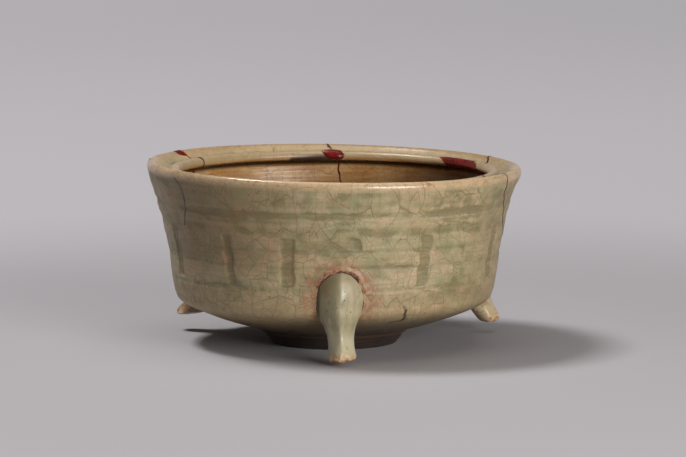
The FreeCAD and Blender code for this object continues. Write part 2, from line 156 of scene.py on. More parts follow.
# The same from the bead's innermost and highest, ending in the corner under it; there the last number rises
# past 1.2 to paint the shadow under the bead
BEAD_CURVE = (
    (6.0, -0.9, 0.4, 0.0), (4.7, -0.15, 0.75, 0.0), (3.2, 0.0, 0.8, 0.0), (1.4, -0.7, 0.6, 0.0),
    (0.3, -2.2, 0.45, 0.05), (0.0, -3.8, 0.5, 0.35), (0.8, -5.3, 0.2, 1.45), (2.9, -6.1, 0.0, 2.0),
    (6.0, -6.6, 0.0, 2.0), (8.9, -8.0, 0.0, 1.9), (9.6, -10.4, 0.0, 1.35),
)
MOUTH_CURVE = (
    *((MOUTH_RADIUS + out, RIM_HEIGHT + up, *shares) for out, up, *shares in LIP_CURVE),
    (MOUTH_RADIUS - 11.4, CHANNEL_HEIGHT, 0.0, 0.0), (BEAD_RADIUS + 6.7, CHANNEL_HEIGHT, 0.0, 0.0),
    *((BEAD_RADIUS + out, BEAD_HEIGHT + up, *shares) for out, up, *shares in BEAD_CURVE),
)
INSIDE_CURVE = ((100.5, 106.8), (95.0, 106.2), (86.3, 104.2), (78.7, 102.3), (70.0, 100.2),
                (58.0, 97.6), (46.5, 96.4), (41.5, 95.4))
FLOOR_CURVE = ((95.4, 41.5), (92.6, 35.4), (88.0, 31.0), (80.0, 27.6), (66.0, 22.9), (50.0, 18.3),
               (38.0, 16.3), (20.0, 16.1), (0.0, 16.1))

# Turned bands of the wall: from, to, rise over the ground of the wall
BANDS = (
    (41.8, 43.7, 0.25), (43.7, 46.4, -0.15),
    (46.5, 58.6, 0.24), (58.6, 60.3, -0.30), (60.3, 69.1, 0.22), (69.1, 70.4, -0.36),
    (70.4, 78.7, 0.24), (78.7, 84.6, -0.20), (84.6, 87.1, 0.24), (87.1, 88.3, -0.22),
    (88.3, 90.2, 0.26), (90.2, 94.3, -0.50), (94.3, 97.4, 0.22),
)
BAND_SOFTNESS = 0.80
# The trigrams: heights of the three rows of bars, angles of the gaps between them,
# and the broken bars by angle and by first and last row
ROWS = {1: (70.2, 78.7), 2: (60.3, 69.1), 3: (46.5, 58.6)}
DIVIDERS = (-66.0, -15.8, 31.8, 68.0, 113.2, 158.4, 203.6, 248.8)
BROKEN_BARS = ((-38.0, 1, 3), (7.2, 1, 1), (90.6, 1, 1), (90.6, 3, 3), (135.8, 2, 3),
               (181.0, 1, 2), (226.2, 3, 3), (271.4, 2, 2))
# Gaps between trigrams, then gaps in bars: their widths, and how deep and soft both are
DIVIDER_WIDTH = 8.4
BAR_GAP_WIDTH = 6.2
BAR_RADIUS = 105.0
GAP_DEPTH = 0.65
GAP_SOFTNESS = 1.35

# The breaks: angle of each seam by height, and the height where the sherds end below
SEAMS = {
    "right": ((70.4, 84.0), (84.0, 74.6), (101.2, 68.1), (110.0, 65.9)),
    "middle": ((73.8, 119.0), (104.0, 115.4), (109.4, 115.0), (113.0, 119.6)),
    "back": ((79.5, 176.0), (98.0, 178.3), (107.0, 179.4), (113.0, 181.7)),
    "left": ((81.7, 236.0), (106.0, 239.2), (113.5, 239.6)),
}
SHERD_LOW = ((60.0, 72.0), (84.0, 70.4), (104.0, 60.2), (119.0, 73.8), (148.0, 65.8), (176.0, 79.5),
             (203.0, 70.4), (236.0, 81.7), (262.0, 72.0))
BREAK_ROW_HEIGHT = 72.0

# The grid that every sherd is cut from
COLUMN_STEP = 0.5
FIRST_COLUMN = -181.5
COLUMNS = int(360 / COLUMN_STEP)
# Between these angles, at the front, the columns stand upright
EVEN_TURNS = (-96.0, 40.0)
COLUMN_OF = {"back": 0, "left": 118, "right": 513, "middle": 600}
# First and last column of every sherd
SHERDS = {
    "right": (COLUMN_OF["right"], COLUMN_OF["middle"]),
    "back": (COLUMN_OF["middle"], COLUMNS),
    "left_back": (COLUMN_OF["back"], COLUMN_OF["left"]),
}

# How far the mouth leans, the bead's share of that, and how much higher the lip stands in the middle
RIM_TILT = 2.15
BEAD_TILT_SHARE = 0.5
RIM_LIFT = 0.35


def upright_rows(curve, count, count_beyond, stain, zone):
    """Rows up or down a wall, one of them at the height where the sherds end."""
    before = np.linspace(curve[0][0], BREAK_ROW_HEIGHT, count)[1:]
    beyond = np.linspace(BREAK_ROW_HEIGHT, curve[-1][0], count_beyond)[1:]
    heights = np.concatenate([before, beyond])
    radii = stations(sorted(curve), heights)[:, 0]
    return [(radius, height, 0.0, stain, zone) for radius, height in zip(radii, heights)]


def section_rows():
    """Rows of the section: radius, height, tan, staining with painted shadow above 1.2, and the name of the
    zone.
    """
    inner = (0.0, *np.linspace(6.0, FOOT_TOP_RADIUS - 2.0, 10))
    rows = [(radius, FOOT_HEIGHT, 0.0, 0.0, "under") for radius in inner]
    rows += [(*point, 0.0, 0.0, "under") for point in curve_through(UNDERSIDE_CURVE, 1.2)]
    rows += upright_rows(WALL_CURVE, 66, 60, 0.0, "wall")
    rows += [(*point, "mouth") for point in curve_through(MOUTH_CURVE, 0.5)[1:]]
    rows += upright_rows(INSIDE_CURVE, 24, 22, 1.0, "inside")
    rows += [(*point, 0.0, 1.0, "floor") for point in curve_through(FLOOR_CURVE, 2.5)[1:]]
    return rows


SECTION = section_rows()
ROW_RADIUS, ROW_HEIGHT, ROW_TAN, ROW_STAIN_AND_SHADOW = (np.array([row[part] for row in SECTION]) for part in range(4))
ROW_ZONE = np.array([row[4] for row in SECTION])
WALL = np.flatnonzero(ROW_ZONE == "wall")
INSIDE = np.flatnonzero(ROW_ZONE == "inside")
OUTER_BREAK = int(WALL[np.argmin(abs(ROW_HEIGHT[WALL] - BREAK_ROW_HEIGHT))])
INNER_BREAK = int(INSIDE[np.argmin(abs(ROW_HEIGHT[INSIDE] - BREAK_ROW_HEIGHT))])


def row_at(radius, height):
    """The row of the section nearest to a place on it."""
    return int(np.argmin(np.hypot(ROW_RADIUS - radius, ROW_HEIGHT - height)))


def band_relief(heights):
    """How far the turned bands stand out, softened as glaze softens them."""
    fine = np.arange(30.0, 112.0, 0.05)
    level = np.zeros_like(fine)
    for low, top, rise in BANDS:
        level[(fine >= low) & (fine < top)] = rise
    offsets = np.arange(-3 * BAND_SOFTNESS, 3 * BAND_SOFTNESS + 0.01, 0.05)
    kernel = np.exp(-0.5 * (offsets / BAND_SOFTNESS) ** 2)
    soft = np.convolve(level, kernel / kernel.sum(), mode="same")
    return np.interp(heights, fine, soft)


def trigram_relief(turn, height):
    """How deep the dividers and the gaps of the broken bars are cut, from 0 to 1."""
    depth = np.zeros(np.broadcast(turn, height).shape)
    gaps = [(angle, 1, 3, DIVIDER_WIDTH) for angle in DIVIDERS]
    gaps += [(*bar, BAR_GAP_WIDTH) for bar in BROKEN_BARS]
    for number, (angle, first, last, width) in enumerate(gaps):
        rng = np.random.default_rng(40 + number)
        lean = rng.uniform(-0.05, 0.05)
        low = ROWS[last][0] + rng.uniform(-0.8, 1.2)
        top = ROWS[first][1] + rng.uniform(-0.6, 0.4)
        middle = (low + top) / 2
        away = (turn - angle + 180.0) % 360.0 - 180.0
        across = np.radians(away) * BAR_RADIUS - lean * (height - middle)
        across = across + 0.35 * np.sin(height * 0.55 + number)
        inside = width / 2 - abs(across)
        upright = np.minimum(height - low, top - height)
        cut = ease(-GAP_SOFTNESS, GAP_SOFTNESS, inside) * ease(-GAP_SOFTNESS, GAP_SOFTNESS, upright)
        depth = np.maximum(depth, cut)
    return depth


def seam_turn(name, height):
    """Angle of a break at a height, with the wander of a real one."""
    straight = np.interp(height, *np.array(SEAMS[name]).T)
    seed = len(name)
    wander = 0.30 * np.sin(height * 0.31 + seed) + 0.18 * np.sin(height * 0.83 + 2.0 * seed)
    return straight + wander


def row_shift(turn, height):
    """Moves the rows near the break so that one of them follows the sherds' lower edge."""
    full = turn % 360.0
    edge = np.interp(full, *np.array(SHERD_LOW).T, left=BREAK_ROW_HEIGHT, right=BREAK_ROW_HEIGHT)
    edge = edge + np.where((full > 62) & (full < 260), 0.5 * np.sin(np.radians(full) * 19), 0.0)
    share = np.where(height < BREAK_ROW_HEIGHT, ease(40.0, BREAK_ROW_HEIGHT, height),
                     1 - ease(BREAK_ROW_HEIGHT, 102.0, height))
    return (edge - BREAK_ROW_HEIGHT) * share


def column_turns(heights):
    """The angle of every column, each at a height of its own; the seam columns follow the breaks."""
    nominal = FIRST_COLUMN + COLUMN_STEP * np.arange(COLUMNS + 1)
    back = seam_turn("back", heights)
    knots = [(FIRST_COLUMN, back - 360.0), (nominal[COLUMN_OF["left"]], seam_turn("left", heights) - 360.0)]
    knots += [(even, np.full(COLUMNS + 1, even)) for even in EVEN_TURNS]
    knots += [(nominal[COLUMN_OF[name]], seam_turn(name, heights)) for name in ("right", "middle")]
    knots.append((FIRST_COLUMN + 360.0, back))
    xs = np.array([at for at, turns in knots])
    ys = np.stack([turns for at, turns in knots])
    place = np.clip(np.searchsorted(xs, nominal, side="right") - 1, 0, len(xs) - 2)
    share = (nominal - xs[place]) / (xs[place + 1] - xs[place])
    index = np.arange(COLUMNS + 1)
    return ys[place, index] * (1 - share) + ys[place + 1, index] * share


def rim_tilt(turn, radius, height):
    """The mouth sagged in the kiln: high on the left, low on the right. The bead sagged less."""
    share = BEAD_TILT_SHARE + (1 - BEAD_TILT_SHARE) * ease(104.0, 113.0, radius)
    lift = RIM_LIFT * ease(105.0, 112.0, height) * ease(104.0, 113.0, radius)
    return -RIM_TILT * np.sin(np.radians(turn)) * share * ease(95.0, 110.0, height) + lift


def wall_relief(turn, height):
    """How far the wall's bands and bars stand out, with the wear and the unevenness of handwork."""
    drift = 0.45 * unevenness(turn, 0.0, 17, turns=5)
    drift = drift + 0.2 * unevenness(turn, height, 19, turns=16, pitch=60.0)
    worn = 0.78 + 0.30 * unevenness(turn, height, 23, turns=7, pitch=70.0)
    worn = worn + 0.22 * unevenness(turn, height, 27, turns=26, pitch=22.0)
    bands = band_relief(height + drift) * np.clip(worn, 0.25, 1.3)
    cut = trigram_relief(turn, height)
    burr = 4 * cut * (1 - cut) * (0.6 + 0.4 * unevenness(turn, height, 29, turns=20, pitch=14.0))
    relief = bands * (1 - cut) - GAP_DEPTH * cut + 0.30 * burr
    relief = relief + 0.18 * unevenness(turn, height, 11, turns=9, pitch=20.0)
    return relief + 0.09 * unevenness(turn, height, 13, waves=12, turns=44, pitch=9.0)


def on_vessel(turn, radius, height, zone):
    """A point of the finished surface, in millimetres, and its relief over the ground."""
    relief = np.zeros_like(turn)
    out = up = 0.0
    if zone == "wall":
        relief = wall_relief(turn, height)
        fade = 1 - ease(103.0, 107.2, height)
        out = relief * fade + 0.32 * unevenness(turn, height, 3) * ease(30.0, 45.0, height) * fade
    elif zone == "mouth":
        out = 0.10 * unevenness(turn, height, 7, turns=12, pitch=30.0)
    elif zone == "under":
        up = 0.25 * unevenness(turn, radius, 9) * ease(50.0, 60.0, radius) * (1 - ease(92.0, 100.0, radius))
    else:
        ribs = 0.22 * np.sin(height * 1.05 + 0.6 * np.sin(np.radians(turn)))
        ribs = ribs + 0.2 * unevenness(turn, height, 5)
        out, up = (ribs, 0.0) if zone == "inside" else (0.0, ribs)
    return round_axis(turn, radius + out, height + up + rim_tilt(turn, radius, height)), relief


def vessel_grid():
    """Every vertex of the whole vessel: place, angle, height over the floor as thrown, and relief."""
    rows = []
    for radius, height, zone in zip(ROW_RADIUS, ROW_HEIGHT, ROW_ZONE):
        heights = np.full(COLUMNS + 1, height)
        radii = np.full(COLUMNS + 1, radius)
        turns = column_turns(heights)
        if zone in ("wall", "inside"):
            heights = heights + row_shift(turns, heights)
            turns = column_turns(heights)
            across = WALL if zone == "wall" else INSIDE[::-1]
            radii = np.interp(heights, ROW_HEIGHT[across], ROW_RADIUS[across])
        places, relief = on_vessel(turns, radii, heights, zone)
        rows.append((places, turns, heights, relief))
    return [np.array(grid) for grid in zip(*rows)]


GRID, GRID_TURN, GRID_HEIGHT, GRID_RELIEF = vessel_grid()


# Meshes

def make_object(name, places, faces, material, smooth_angle=38.0):
    """An object from places in millimetres and faces, smooth but for its sharp edges."""
    mesh = bpy.data.meshes.new(name)
    mesh.from_pydata((np.asarray(places) * MM).tolist(), [], faces)
    mesh.validate()
    mesh.shade_smooth()
    mesh.set_sharp_from_angle(angle=math.radians(smooth_angle))
    mesh.materials.append(material)
    piece = bpy.data.objects.new(name, mesh)
    bpy.context.scene.collection.objects.link(piece)
    return piece


def add_attribute(piece, name, values):
    """A number per vertex that materials can read."""
    layer = piece.data.attributes.new(name, "FLOAT", "POINT")
    layer.data.foreach_set("value", np.asarray(values, np.float32))


def finish_piece(piece, slot, *nodes):
    """Puts a piece on the body and hides the CAD parts that it stands for."""
    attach(piece, "root")
    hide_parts(*nodes)


# How the surface unrolls, in millimetres, so that crackle has one scale all over.
# The strip is cut where the right leg and the seam over it hide the cut.
CUT_ANGLE = 113.0
UNROLL_RADIUS = 108.0
# The underside lies flat within this radius
FLAT_UNDER = 80.0
# The plans of the underside and of the floor inside lie beside the strip
UNDER_PLAN_SHIFT = 400.0
FLOOR_PLAN_SHIFT = 800.0
NECK_LOW = 95.0
NECK_SHRINK_SHARE = 0.55


def unrolled_path():
    """Length along the section, shortened in the neck, where the crackle stands upright."""
    steps = np.hypot(np.diff(ROW_RADIUS), np.diff(ROW_HEIGHT))
    neck = (ROW_HEIGHT[1:] > NECK_LOW) & (ROW_ZONE[1:] == "wall")
    steps = np.where(neck, steps * NECK_SHRINK_SHARE, steps)
    return np.concatenate([[0.0], np.cumsum(steps)])


UNROLLED_PATH = unrolled_path()


def unrolled(row, columns, cell_columns, lying):
    """Flat coordinates of corners of one row of cells: as a plan where it lies, else as a strip."""
    turns = GRID_TURN[row, columns]
    if lying:
        side = UNDER_PLAN_SHIFT if ROW_ZONE[row] == "under" else FLOOR_PLAN_SHIFT
        return round_axis(turns, ROW_RADIUS[row], 0.0)[:, :2] + (side, 0.0)
    cut = COLUMN_OF["middle"] if OUTER_BREAK <= row <= INNER_BREAK else column_near(row, CUT_ANGLE)
    turns = np.where(cell_columns >= cut, turns - 360.0, turns)
    return np.stack([np.radians(turns) * UNROLL_RADIUS, np.full(len(turns), UNROLLED_PATH[row])], -1)


def bare_share(row, turn, height):
    """Where the glaze stops inside and underneath: 0 glazed, 1 bare."""
    zone = ROW_ZONE[row]
    if zone == "inside":
        edge = 90.0 + 3.0 * unevenness(turn, 0.0, 21) + 5.0 * np.sin(np.radians(turn))
        return 1 - ease(-1.5, 1.5, height - edge)
    share = {"floor": 1.0, "under": float(1 - ease(50.0, 54.0, ROW_RADIUS[row]))}
    return np.full_like(turn, share.get(zone, 0.0))


def cell_corners(cells):
    """The grid corners of every cell of a piece: three where the cell ends in the axis."""
    rings = []
    for row, column in zip(*(part.tolist() for part in np.nonzero(cells))):
        ring = [(row, column), (row, column + 1), (row + 1, column + 1), (row + 1, column)]
        if row == 0:
            ring.pop(1)
        elif row == len(ROW_RADIUS) - 2:
            ring.pop()
        rings.append(ring)
    return rings


def add_unroll(piece, rings):
    """Gives every face's corners their flat coordinates, with the height as the third."""
    corners = np.array([spot for ring in rings for spot in ring])
    cell_row, cell_column = np.array([np.min(ring, axis=0) for ring in rings for spot in ring]).T
    zone = ROW_ZONE[cell_row]
    flat_row = (zone == "floor") | ((zone == "under") & (ROW_RADIUS[cell_row] < FLAT_UNDER))
    coordinates = np.zeros((len(corners), 3))
    for row in np.unique(corners[:, 0]):
        for lying in (False, True):
            at = (corners[:, 0] == row) & (flat_row == lying)
            coordinates[at, :2] = unrolled(row, corners[at, 1], cell_column[at], lying)
            coordinates[at, 2] = GRID_HEIGHT[row, corners[at, 1]]
    layer = piece.data.attributes.new("unroll", "FLOAT_VECTOR", "CORNER")
    layer.data.foreach_set("vector", coordinates.ravel().astype(np.float32))


def shell_piece(name, cells, caps):
    """One ceramic piece of the vessel: its share of the grid, closed where it broke."""
    rings = cell_corners(cells) + caps
    used = {}
    faces = []
    for ring in rings:
        keys = [(row, 0 if row in (0, len(ROW_RADIUS) - 1) else column % COLUMNS) for row, column in ring]
        faces.append([used.setdefault(key, len(used)) for key in keys])
    rows, columns = np.array(list(used)).T
    piece = make_object(name, GRID[rows, columns], faces, MATERIALS["celadon"])
    bare = np.zeros(len(used))
    for row in np.unique(rows):
        at = rows == row
        bare[at] = bare_share(row, GRID_TURN[row, columns[at]], GRID_HEIGHT[row, columns[at]])
    readings = {"relief": GRID_RELIEF[rows, columns], "bare": bare, "tan": ROW_TAN[rows],
                "stain": ROW_STAIN_AND_SHADOW[rows], "mark": GRID_MARK[rows, columns]}
    for reading, values in readings.items():
        add_attribute(piece, reading, values)
    add_unroll(piece, rings)
    finish_piece(piece, "celadon_glaze", name)


def side_cap(column, reverse):
    """The broken face of the wall and rim at a seam column."""
    ring = [(row, column) for row in range(OUTER_BREAK, INNER_BREAK + 1)]
    return ring[::-1] if reverse else ring


def low_caps(first, last, reverse):
    """The broken face along the bottom of a sherd."""
    corners = ((OUTER_BREAK, 0), (INNER_BREAK, 0), (INNER_BREAK, 1), (OUTER_BREAK, 1))
    caps = [[(row, column + step) for row, step in corners] for column in range(first, last)]
    return [cap[::-1] for cap in caps] if reverse else caps


# Places on the finished surface, for what lies on it

GRID_NORMAL = unit(np.cross(np.gradient(GRID, axis=1), np.gradient(GRID, axis=0)))


def surface_at(rows, columns):
    """Place and outward direction at fractional rows and columns of the grid."""
    rows = np.clip(np.asarray(rows, float), 1, len(ROW_RADIUS) - 2.001)
    columns = np.asarray(columns, float) % COLUMNS
    low_row = rows.astype(int)
    low_column = columns.astype(int)
    row_share = (rows - low_row)[..., None]
    column_share = (columns - low_column)[..., None]
    found = []
    for grid in (GRID, GRID_NORMAL):
        near, far = (grid[row, low_column] * (1 - column_share) + grid[row, low_column + 1] * column_share
                     for row in (low_row, low_row + 1))
        found.append(near * (1 - row_share) + far * row_share)
    place, normal = found
    return place, unit(normal)


# Hairlines, a crack at the lower edge, worn spots of the lip and lacquer smeared under the bead:
# half width, strength, and points by angle, radius and height
MARKS = (
    (0.5, 1.0, ((-60.5, 113.0, 112.9), (-57.0, 117.2, 109.0), (-55.6, 117.3, 107.0), (-54.7, 116.6, 105.2),
                 (-54.4, 114.0, 97.6), (-55.8, 111.6, 89.6), (-58.2, 109.0, 80.8))),
    (0.6, 0.7, ((25.2, 100.4, 34.6), (26.2, 100.0, 31.8))),
    (0.8, 1.0, ((26.2, 100.0, 31.8), (26.0, 98.6, 29.4), (26.7, 97.2, 27.9), (26.8, 90.8, 24.2))),
    (0.9, 1.0, ((26.8, 90.8, 24.2), (25.0, 90.2, 24.0), (22.8, 88.4, 23.3))),
    (0.7, 0.8, ((26.8, 90.8, 24.2), (28.4, 94.0, 25.9))),
    (0.6, 0.6, ((-60.2, 100.8, 36.0), (-59.0, 99.8, 31.6))),
    (0.9, 0.7, ((-37.9, 114.5, 113.4), (-37.3, 114.9, 113.4))),
    (0.7, 0.6, ((-25.8, 115.4, 113.2), (-25.0, 115.5, 113.2))),
    (0.9, 0.8, ((67.0, 102.0, 110.2), (65.4, 102.6, 110.0))),
    (0.4, 0.6, ((200.5, 112.0, 112.0), (201.2, 108.5, 110.0), (202.6, 103.8, 109.6), (203.2, 100.0, 110.4),
                (203.7, 97.4, 107.6), (204.0, 98.0, 105.5))),
    (0.4, 0.5, ((204.0, 106.8, 101.0), (204.5, 105.6, 92.0))),
    (2.4, 0.95, ((181.0, 97.4, 106.6), (187.0, 97.4, 106.2), (192.0, 98.0, 105.6), (196.0, 98.6, 105.0))),
)


def mark_depth():
    """How strongly every vertex of the vessel is marked."""
    depth = np.zeros(GRID.shape[:2])
    for half, strength, points in MARKS:
        spots = []
        for turn, radius, height in points:
            row = row_at(radius, height)
            spots.append(surface_at(row, column_near(row, turn))[0])
        for first, last in zip(spots[:-1], spots[1:]):
            along = last - first
            share = np.clip((GRID - first) @ along / (along @ along), 0, 1)
            away = np.linalg.norm(GRID - first - share[..., None] * along, axis=-1)
            depth = np.maximum(depth, strength * (1 - ease(0.4 * half, 1.6 * half, away)))
    return depth


def column_near(row, turn):
    """Fractional column at an angle in a row."""
    turns = GRID_TURN[row]
    turn = (turn - turns[0]) % 360.0 + turns[0]
    return float(np.interp(turn, turns, np.arange(COLUMNS + 1)))


GRID_MARK = mark_depth()


def tube_faces(rings, around, closed):
    """Faces between rings of vertices, joined end to end or with a lid at each end."""
    faces = []
    for ring in range(rings if closed else rings - 1):
        start, after = ring * around, (ring + 1) % rings * around
        for spot in range(around):
            beside = (spot + 1) % around
            faces.append([start + spot, start + beside, after + beside, after + spot])
    if not closed:
        faces.append(list(range(around))[::-1])
        faces.append([(rings - 1) * around + spot for spot in range(around)])
    return faces


def disc_faces(rings, around, middle=0):
    """Faces of a disc: a fan round its middle vertex, then rings of faces."""
    fan = [[middle, middle + 1 + spot, middle + 1 + (spot + 1) % around] for spot in range(around)]
    return fan + [[middle + 1 + corner for corner in face[::-1]]
                  for face in tube_faces(rings, around, False)[:-2]]


# Across a lacquer line: share of half width, and height in millimetres
LACQUER_SECTION = ((-1.0, -0.10), (-0.8, 0.10), (-0.4, 0.22), (0.0, 0.26), (0.4, 0.22), (0.8, 0.10),
                   (1.0, -0.10), (0.4, -0.7), (-0.4, -0.7))


def evened_noise(rng, count, window):
    """Random numbers, each the mean of a window of them."""
    pad = window - 1
    walk = np.convolve(rng.normal(0, 1, count + 2 * pad), np.ones(window) / window, mode="same")
    return walk[pad:pad + count]


def lacquer_line(name, places, normals, half_width, closed, seed):
    """A raised line of lacquer laid along a break."""
    count = len(places)
    if closed:
        along = np.roll(places, -1, 0) - np.roll(places, 1, 0)
    else:
        along = np.vstack([places[1:], places[-1:]]) - np.vstack([places[:1], places[:-1]])
    side = unit(np.cross(normals, unit(along)))
    rng = np.random.default_rng(seed)
    width = half_width * (1 + 0.9 * evened_noise(rng, count, 13))
    drift = evened_noise(rng, count, 25) * 0.5
    rings = [places + side * (across * width + drift)[:, None] + normals * rise
             for across, rise in LACQUER_SECTION]
    faces = tube_faces(count, len(LACQUER_SECTION), closed)
    return make_object(name, np.stack(rings, 1).reshape(-1, 3), faces, MATERIALS["seam"], 60.0)


def break_path(steps):
    """Places and normals along a run of grid corners, a little evened out."""
    place, normal = surface_at(*np.array(steps, float).T)
    for _ in range(3):
        normal[1:-1] = normal[:-2] * 0.25 + normal[1:-1] * 0.5 + normal[2:] * 0.25
    return place, unit(normal)


def patch(name, turn, row, half_turn, half_rows, proud, squareness, slant, seed):
    """A made-up bit of lacquer: a low mound on the surface with an uneven edge."""
    rings, spokes = 14, 72
    rng = np.random.default_rng(seed)
    angles = whole_turn(spokes)
    edge = np.ones(spokes)
    for count in range(2, 9):
        edge += rng.normal(0, 0.16 / count) * np.sin(count * angles + rng.uniform(0, 2 * math.pi))
    across, upright = (np.sign(wave) * abs(wave) ** (2.0 / squareness)
                       for wave in (np.cos(angles), np.sin(angles)))
    middle_column = column_near(row, turn)
    vertices = []
    for top in (True, False):
        for share in np.arange(rings + 1) / rings:
            columns = middle_column + (across * half_turn + upright * slant) * edge * share / COLUMN_STEP
            place, normal = surface_at(row + upright * edge * share * half_rows, columns)
            level = proud * (1 - share ** 4) - 0.08 * share if top else -0.6 * (1 - 0.3 * share)
            ring = place + normal * level
            vertices.append(ring if share else ring[:1])
    half = 1 + rings * spokes
    faces = disc_faces(rings, spokes) + [face[::-1] for face in disc_faces(rings, spokes, half)]
    for spot in range(half - spokes, half):
        beside = spot + 1 if spot + 1 < half else half - spokes
        faces.append([spot, half + spot, half + beside, beside])
    return make_object(name, np.vstack(vertices), faces, MATERIALS["lacquer"], 60.0)


# Legs, in a frame of their own: X out from the axis, Y across, Z up from the toe

# Angle round the vessel, and height of the toe over the table
LEG_SIDES = {"front": (2.1, 2.0), "right": (113.0, 7.0), "left": (-118.5, 10.0)}
# Below the wall: height over the toe's end, half width, outer and inner radius
LEG_LOW = (
    (0.0, 6.5, 112.6, 103.2), (0.9, 7.8, 114.3, 101.8), (2.4, 8.5, 115.0, 100.4), (4.6, 8.5, 114.9, 98.6),
    (7.0, 8.2, 113.8, 96.7), (9.6, 8.0, 112.2, 95.0), (12.4, 8.0, 110.8, 93.6), (15.4, 8.3, 109.9, 92.7),
    (18.4, 9.0, 109.8, 92.4), (21.6, 10.0, 110.4, 92.8), (25.0, 11.6, 111.4, 94.2), (28.4, 13.1, 112.3, 96.0),
)
# The left leg was pushed out further: its toe hangs from a nearly level shank
LEFT_LEG_LOW = (
    (0.0, 4.8, 113.6, 108.4), (0.8, 6.6, 115.2, 103.6), (1.8, 7.4, 115.9, 98.0), (3.2, 7.7, 115.9, 94.4),
    (5.0, 7.7, 114.4, 92.6), (6.8, 7.7, 111.6, 91.8), (9.0, 7.9, 109.2, 91.4), (12.4, 8.4, 108.2, 91.2),
    (16.4, 9.4, 108.9, 91.6), (20.0, 10.8, 110.3, 92.6), (24.0, 12.4, 111.6, 94.4), (28.4, 13.6, 112.4, 96.4),
)
# Where the leg lies against the wall: height, half width, and how far it stands off
LEG_HIGH = (
    (33.5, 14.25, 10.9), (38.5, 14.6, 10.3), (43.0, 14.0, 9.0), (46.8, 12.5, 7.5), (49.8, 10.5, 5.9),
    (52.0, 8.3, 4.3), (53.6, 6.0, 2.9), (54.6, 3.8, 1.7), (55.3, 1.4, 0.2),
)
LEG_SPOTS = 96
LEG_LEVELS = 150
LEG_TOP = LEG_HIGH[-1][0]
# Radius of the middle of a leg where it grows into the wall, and of a toe
LEG_ROOT_RADIUS = 100.2
TOE_RADIUS = 103.0
KEEL_SOFTNESS = 0.10
# How much of a leg's front is round, and the rest is the keel with its hollow flanks
ROUND_SHARE = 0.22


def wall_radius(height):
    """Radius of the wall's ground at a height."""
    return np.interp(height, *np.array(WALL_CURVE).T)


def leg_stations(side, lift):
    """Rows up a leg: height over the toe, half width, outer, inner and middle radius."""
    low = LEFT_LEG_LOW if side == "left" else LEG_LOW
    rows = []
    for up, half, outer, inner in low:
        merge = float(ease(14.0, 30.0, up))
        middle = 0.45 * outer + 0.55 * inner
        rows.append((up, half, outer, inner, middle * (1 - merge) + LEG_ROOT_RADIUS * merge))
    for up, half, off in LEG_HIGH:
        wall = float(wall_radius(up + lift))
        rows.append((up, half, wall + off, wall - 3.0, math.sqrt(wall ** 2 - half ** 2) - 0.3))
    return np.array(rows)


def leg_surface(side):
    """Every vertex of a leg in its own frame: rings up the leg, spots round it."""
    lift = LEG_SIDES[side][1]
    levels = LEG_TOP * np.linspace(0.0, 1.0, LEG_LEVELS) ** 1.12
    table = stations(leg_stations(side, lift), levels)
    angles = whole_turn(LEG_SPOTS)
    forward, across = np.cos(angles), np.sin(angles)
    face = np.clip(forward, 0, 1) ** 0.5
    lean = np.sqrt(across ** 2 + KEEL_SOFTNESS ** 2) - KEEL_SOFTNESS
    lean = lean / (math.hypot(1, KEEL_SOFTNESS) - KEEL_SOFTNESS)
    dome = ROUND_SHARE * (1 - lean ** 1.55) ** 0.60 + (1 - ROUND_SHARE) * (1 - lean) ** 0.80
    lift_side = 1.3 if side == "front" else 0.6
    rings = []
    for level, (half, outer, inner, waist) in zip(levels, table):
        # The toe is split by a groove between two lobes, and lumpy at its end
        groove_share, toe_share, end_share, tilt_share, bend_share = (
            float(1 - ease(low, high, level))
            for low, high in ((1.0, 7.5), (3.0, 13.0), (3.0, 7.0), (0.0, 10.0), (12.0, 26.0)))
        x = np.where(forward > 0, waist + (outer - waist) * dome, waist + (waist - inner) * forward)
        y = half * across
        groove = 1.8 * np.exp(-((y - 0.8) / 1.1) ** 2) * face * groove_share
        lobes = 0.7 * np.exp(-((y + 3.2) / 2.4) ** 2) + 0.5 * np.exp(-((y - 5.2) / 2.0) ** 2)
        lumps = 0.32 * np.sin(y * 2.1 + level * 1.3) * np.sin(level * 1.9 + 1.0) * face * end_share
        x = x - groove + lobes * face * toe_share + lumps
        z = level + lift_side * ease(0.0, 2.6, y) * tilt_share
        bend = 0.5 * math.sin(level / 11.0 + lift) + 0.5 * bend_share
        uneven = 0.12 * np.sin(3 * angles + level * 0.21 + lift) + 0.09 * np.sin(5 * angles - level * 0.33)
        rings.append(np.stack([x + uneven * forward, y + bend + uneven * across, z + lift], -1))
    return np.array(rings)


def turned_to(places, turn):
    """Places of a leg's own frame, put round the vessel."""
    angle = math.radians(turn - 90.0)
    x = places[..., 0] * math.cos(angle) - places[..., 1] * math.sin(angle)
    y = places[..., 0] * math.sin(angle) + places[..., 1] * math.cos(angle)
    return np.stack([x, y, places[..., 2]], -1)


LUTING_SPOTS = 180
OUTSIDE = np.array([row[:2] for row in SECTION if row[4] in ("under", "wall")])


def over_vessel(places):
    """How far places lie outside the vessel's outer surface, and the way out of it there."""
    radius = np.hypot(places[..., 0], places[..., 1])
    away = np.hypot(radius[..., None] - OUTSIDE[:, 0], places[..., 2, None] - OUTSIDE[:, 1])
    spot = np.clip(away.argmin(-1), 1, len(OUTSIDE) - 2)
    along = unit(OUTSIDE[spot + 1] - OUTSIDE[spot - 1])
    gap = np.stack([radius, places[..., 2]], -1) - OUTSIDE[spot]
    distance = gap[..., 0] * along[..., 1] - gap[..., 1] * along[..., 0]
    from_axis = places[..., :2] / radius[..., None]
    return distance, np.concatenate([from_axis * along[..., 1:], -along[..., :1]], -1)


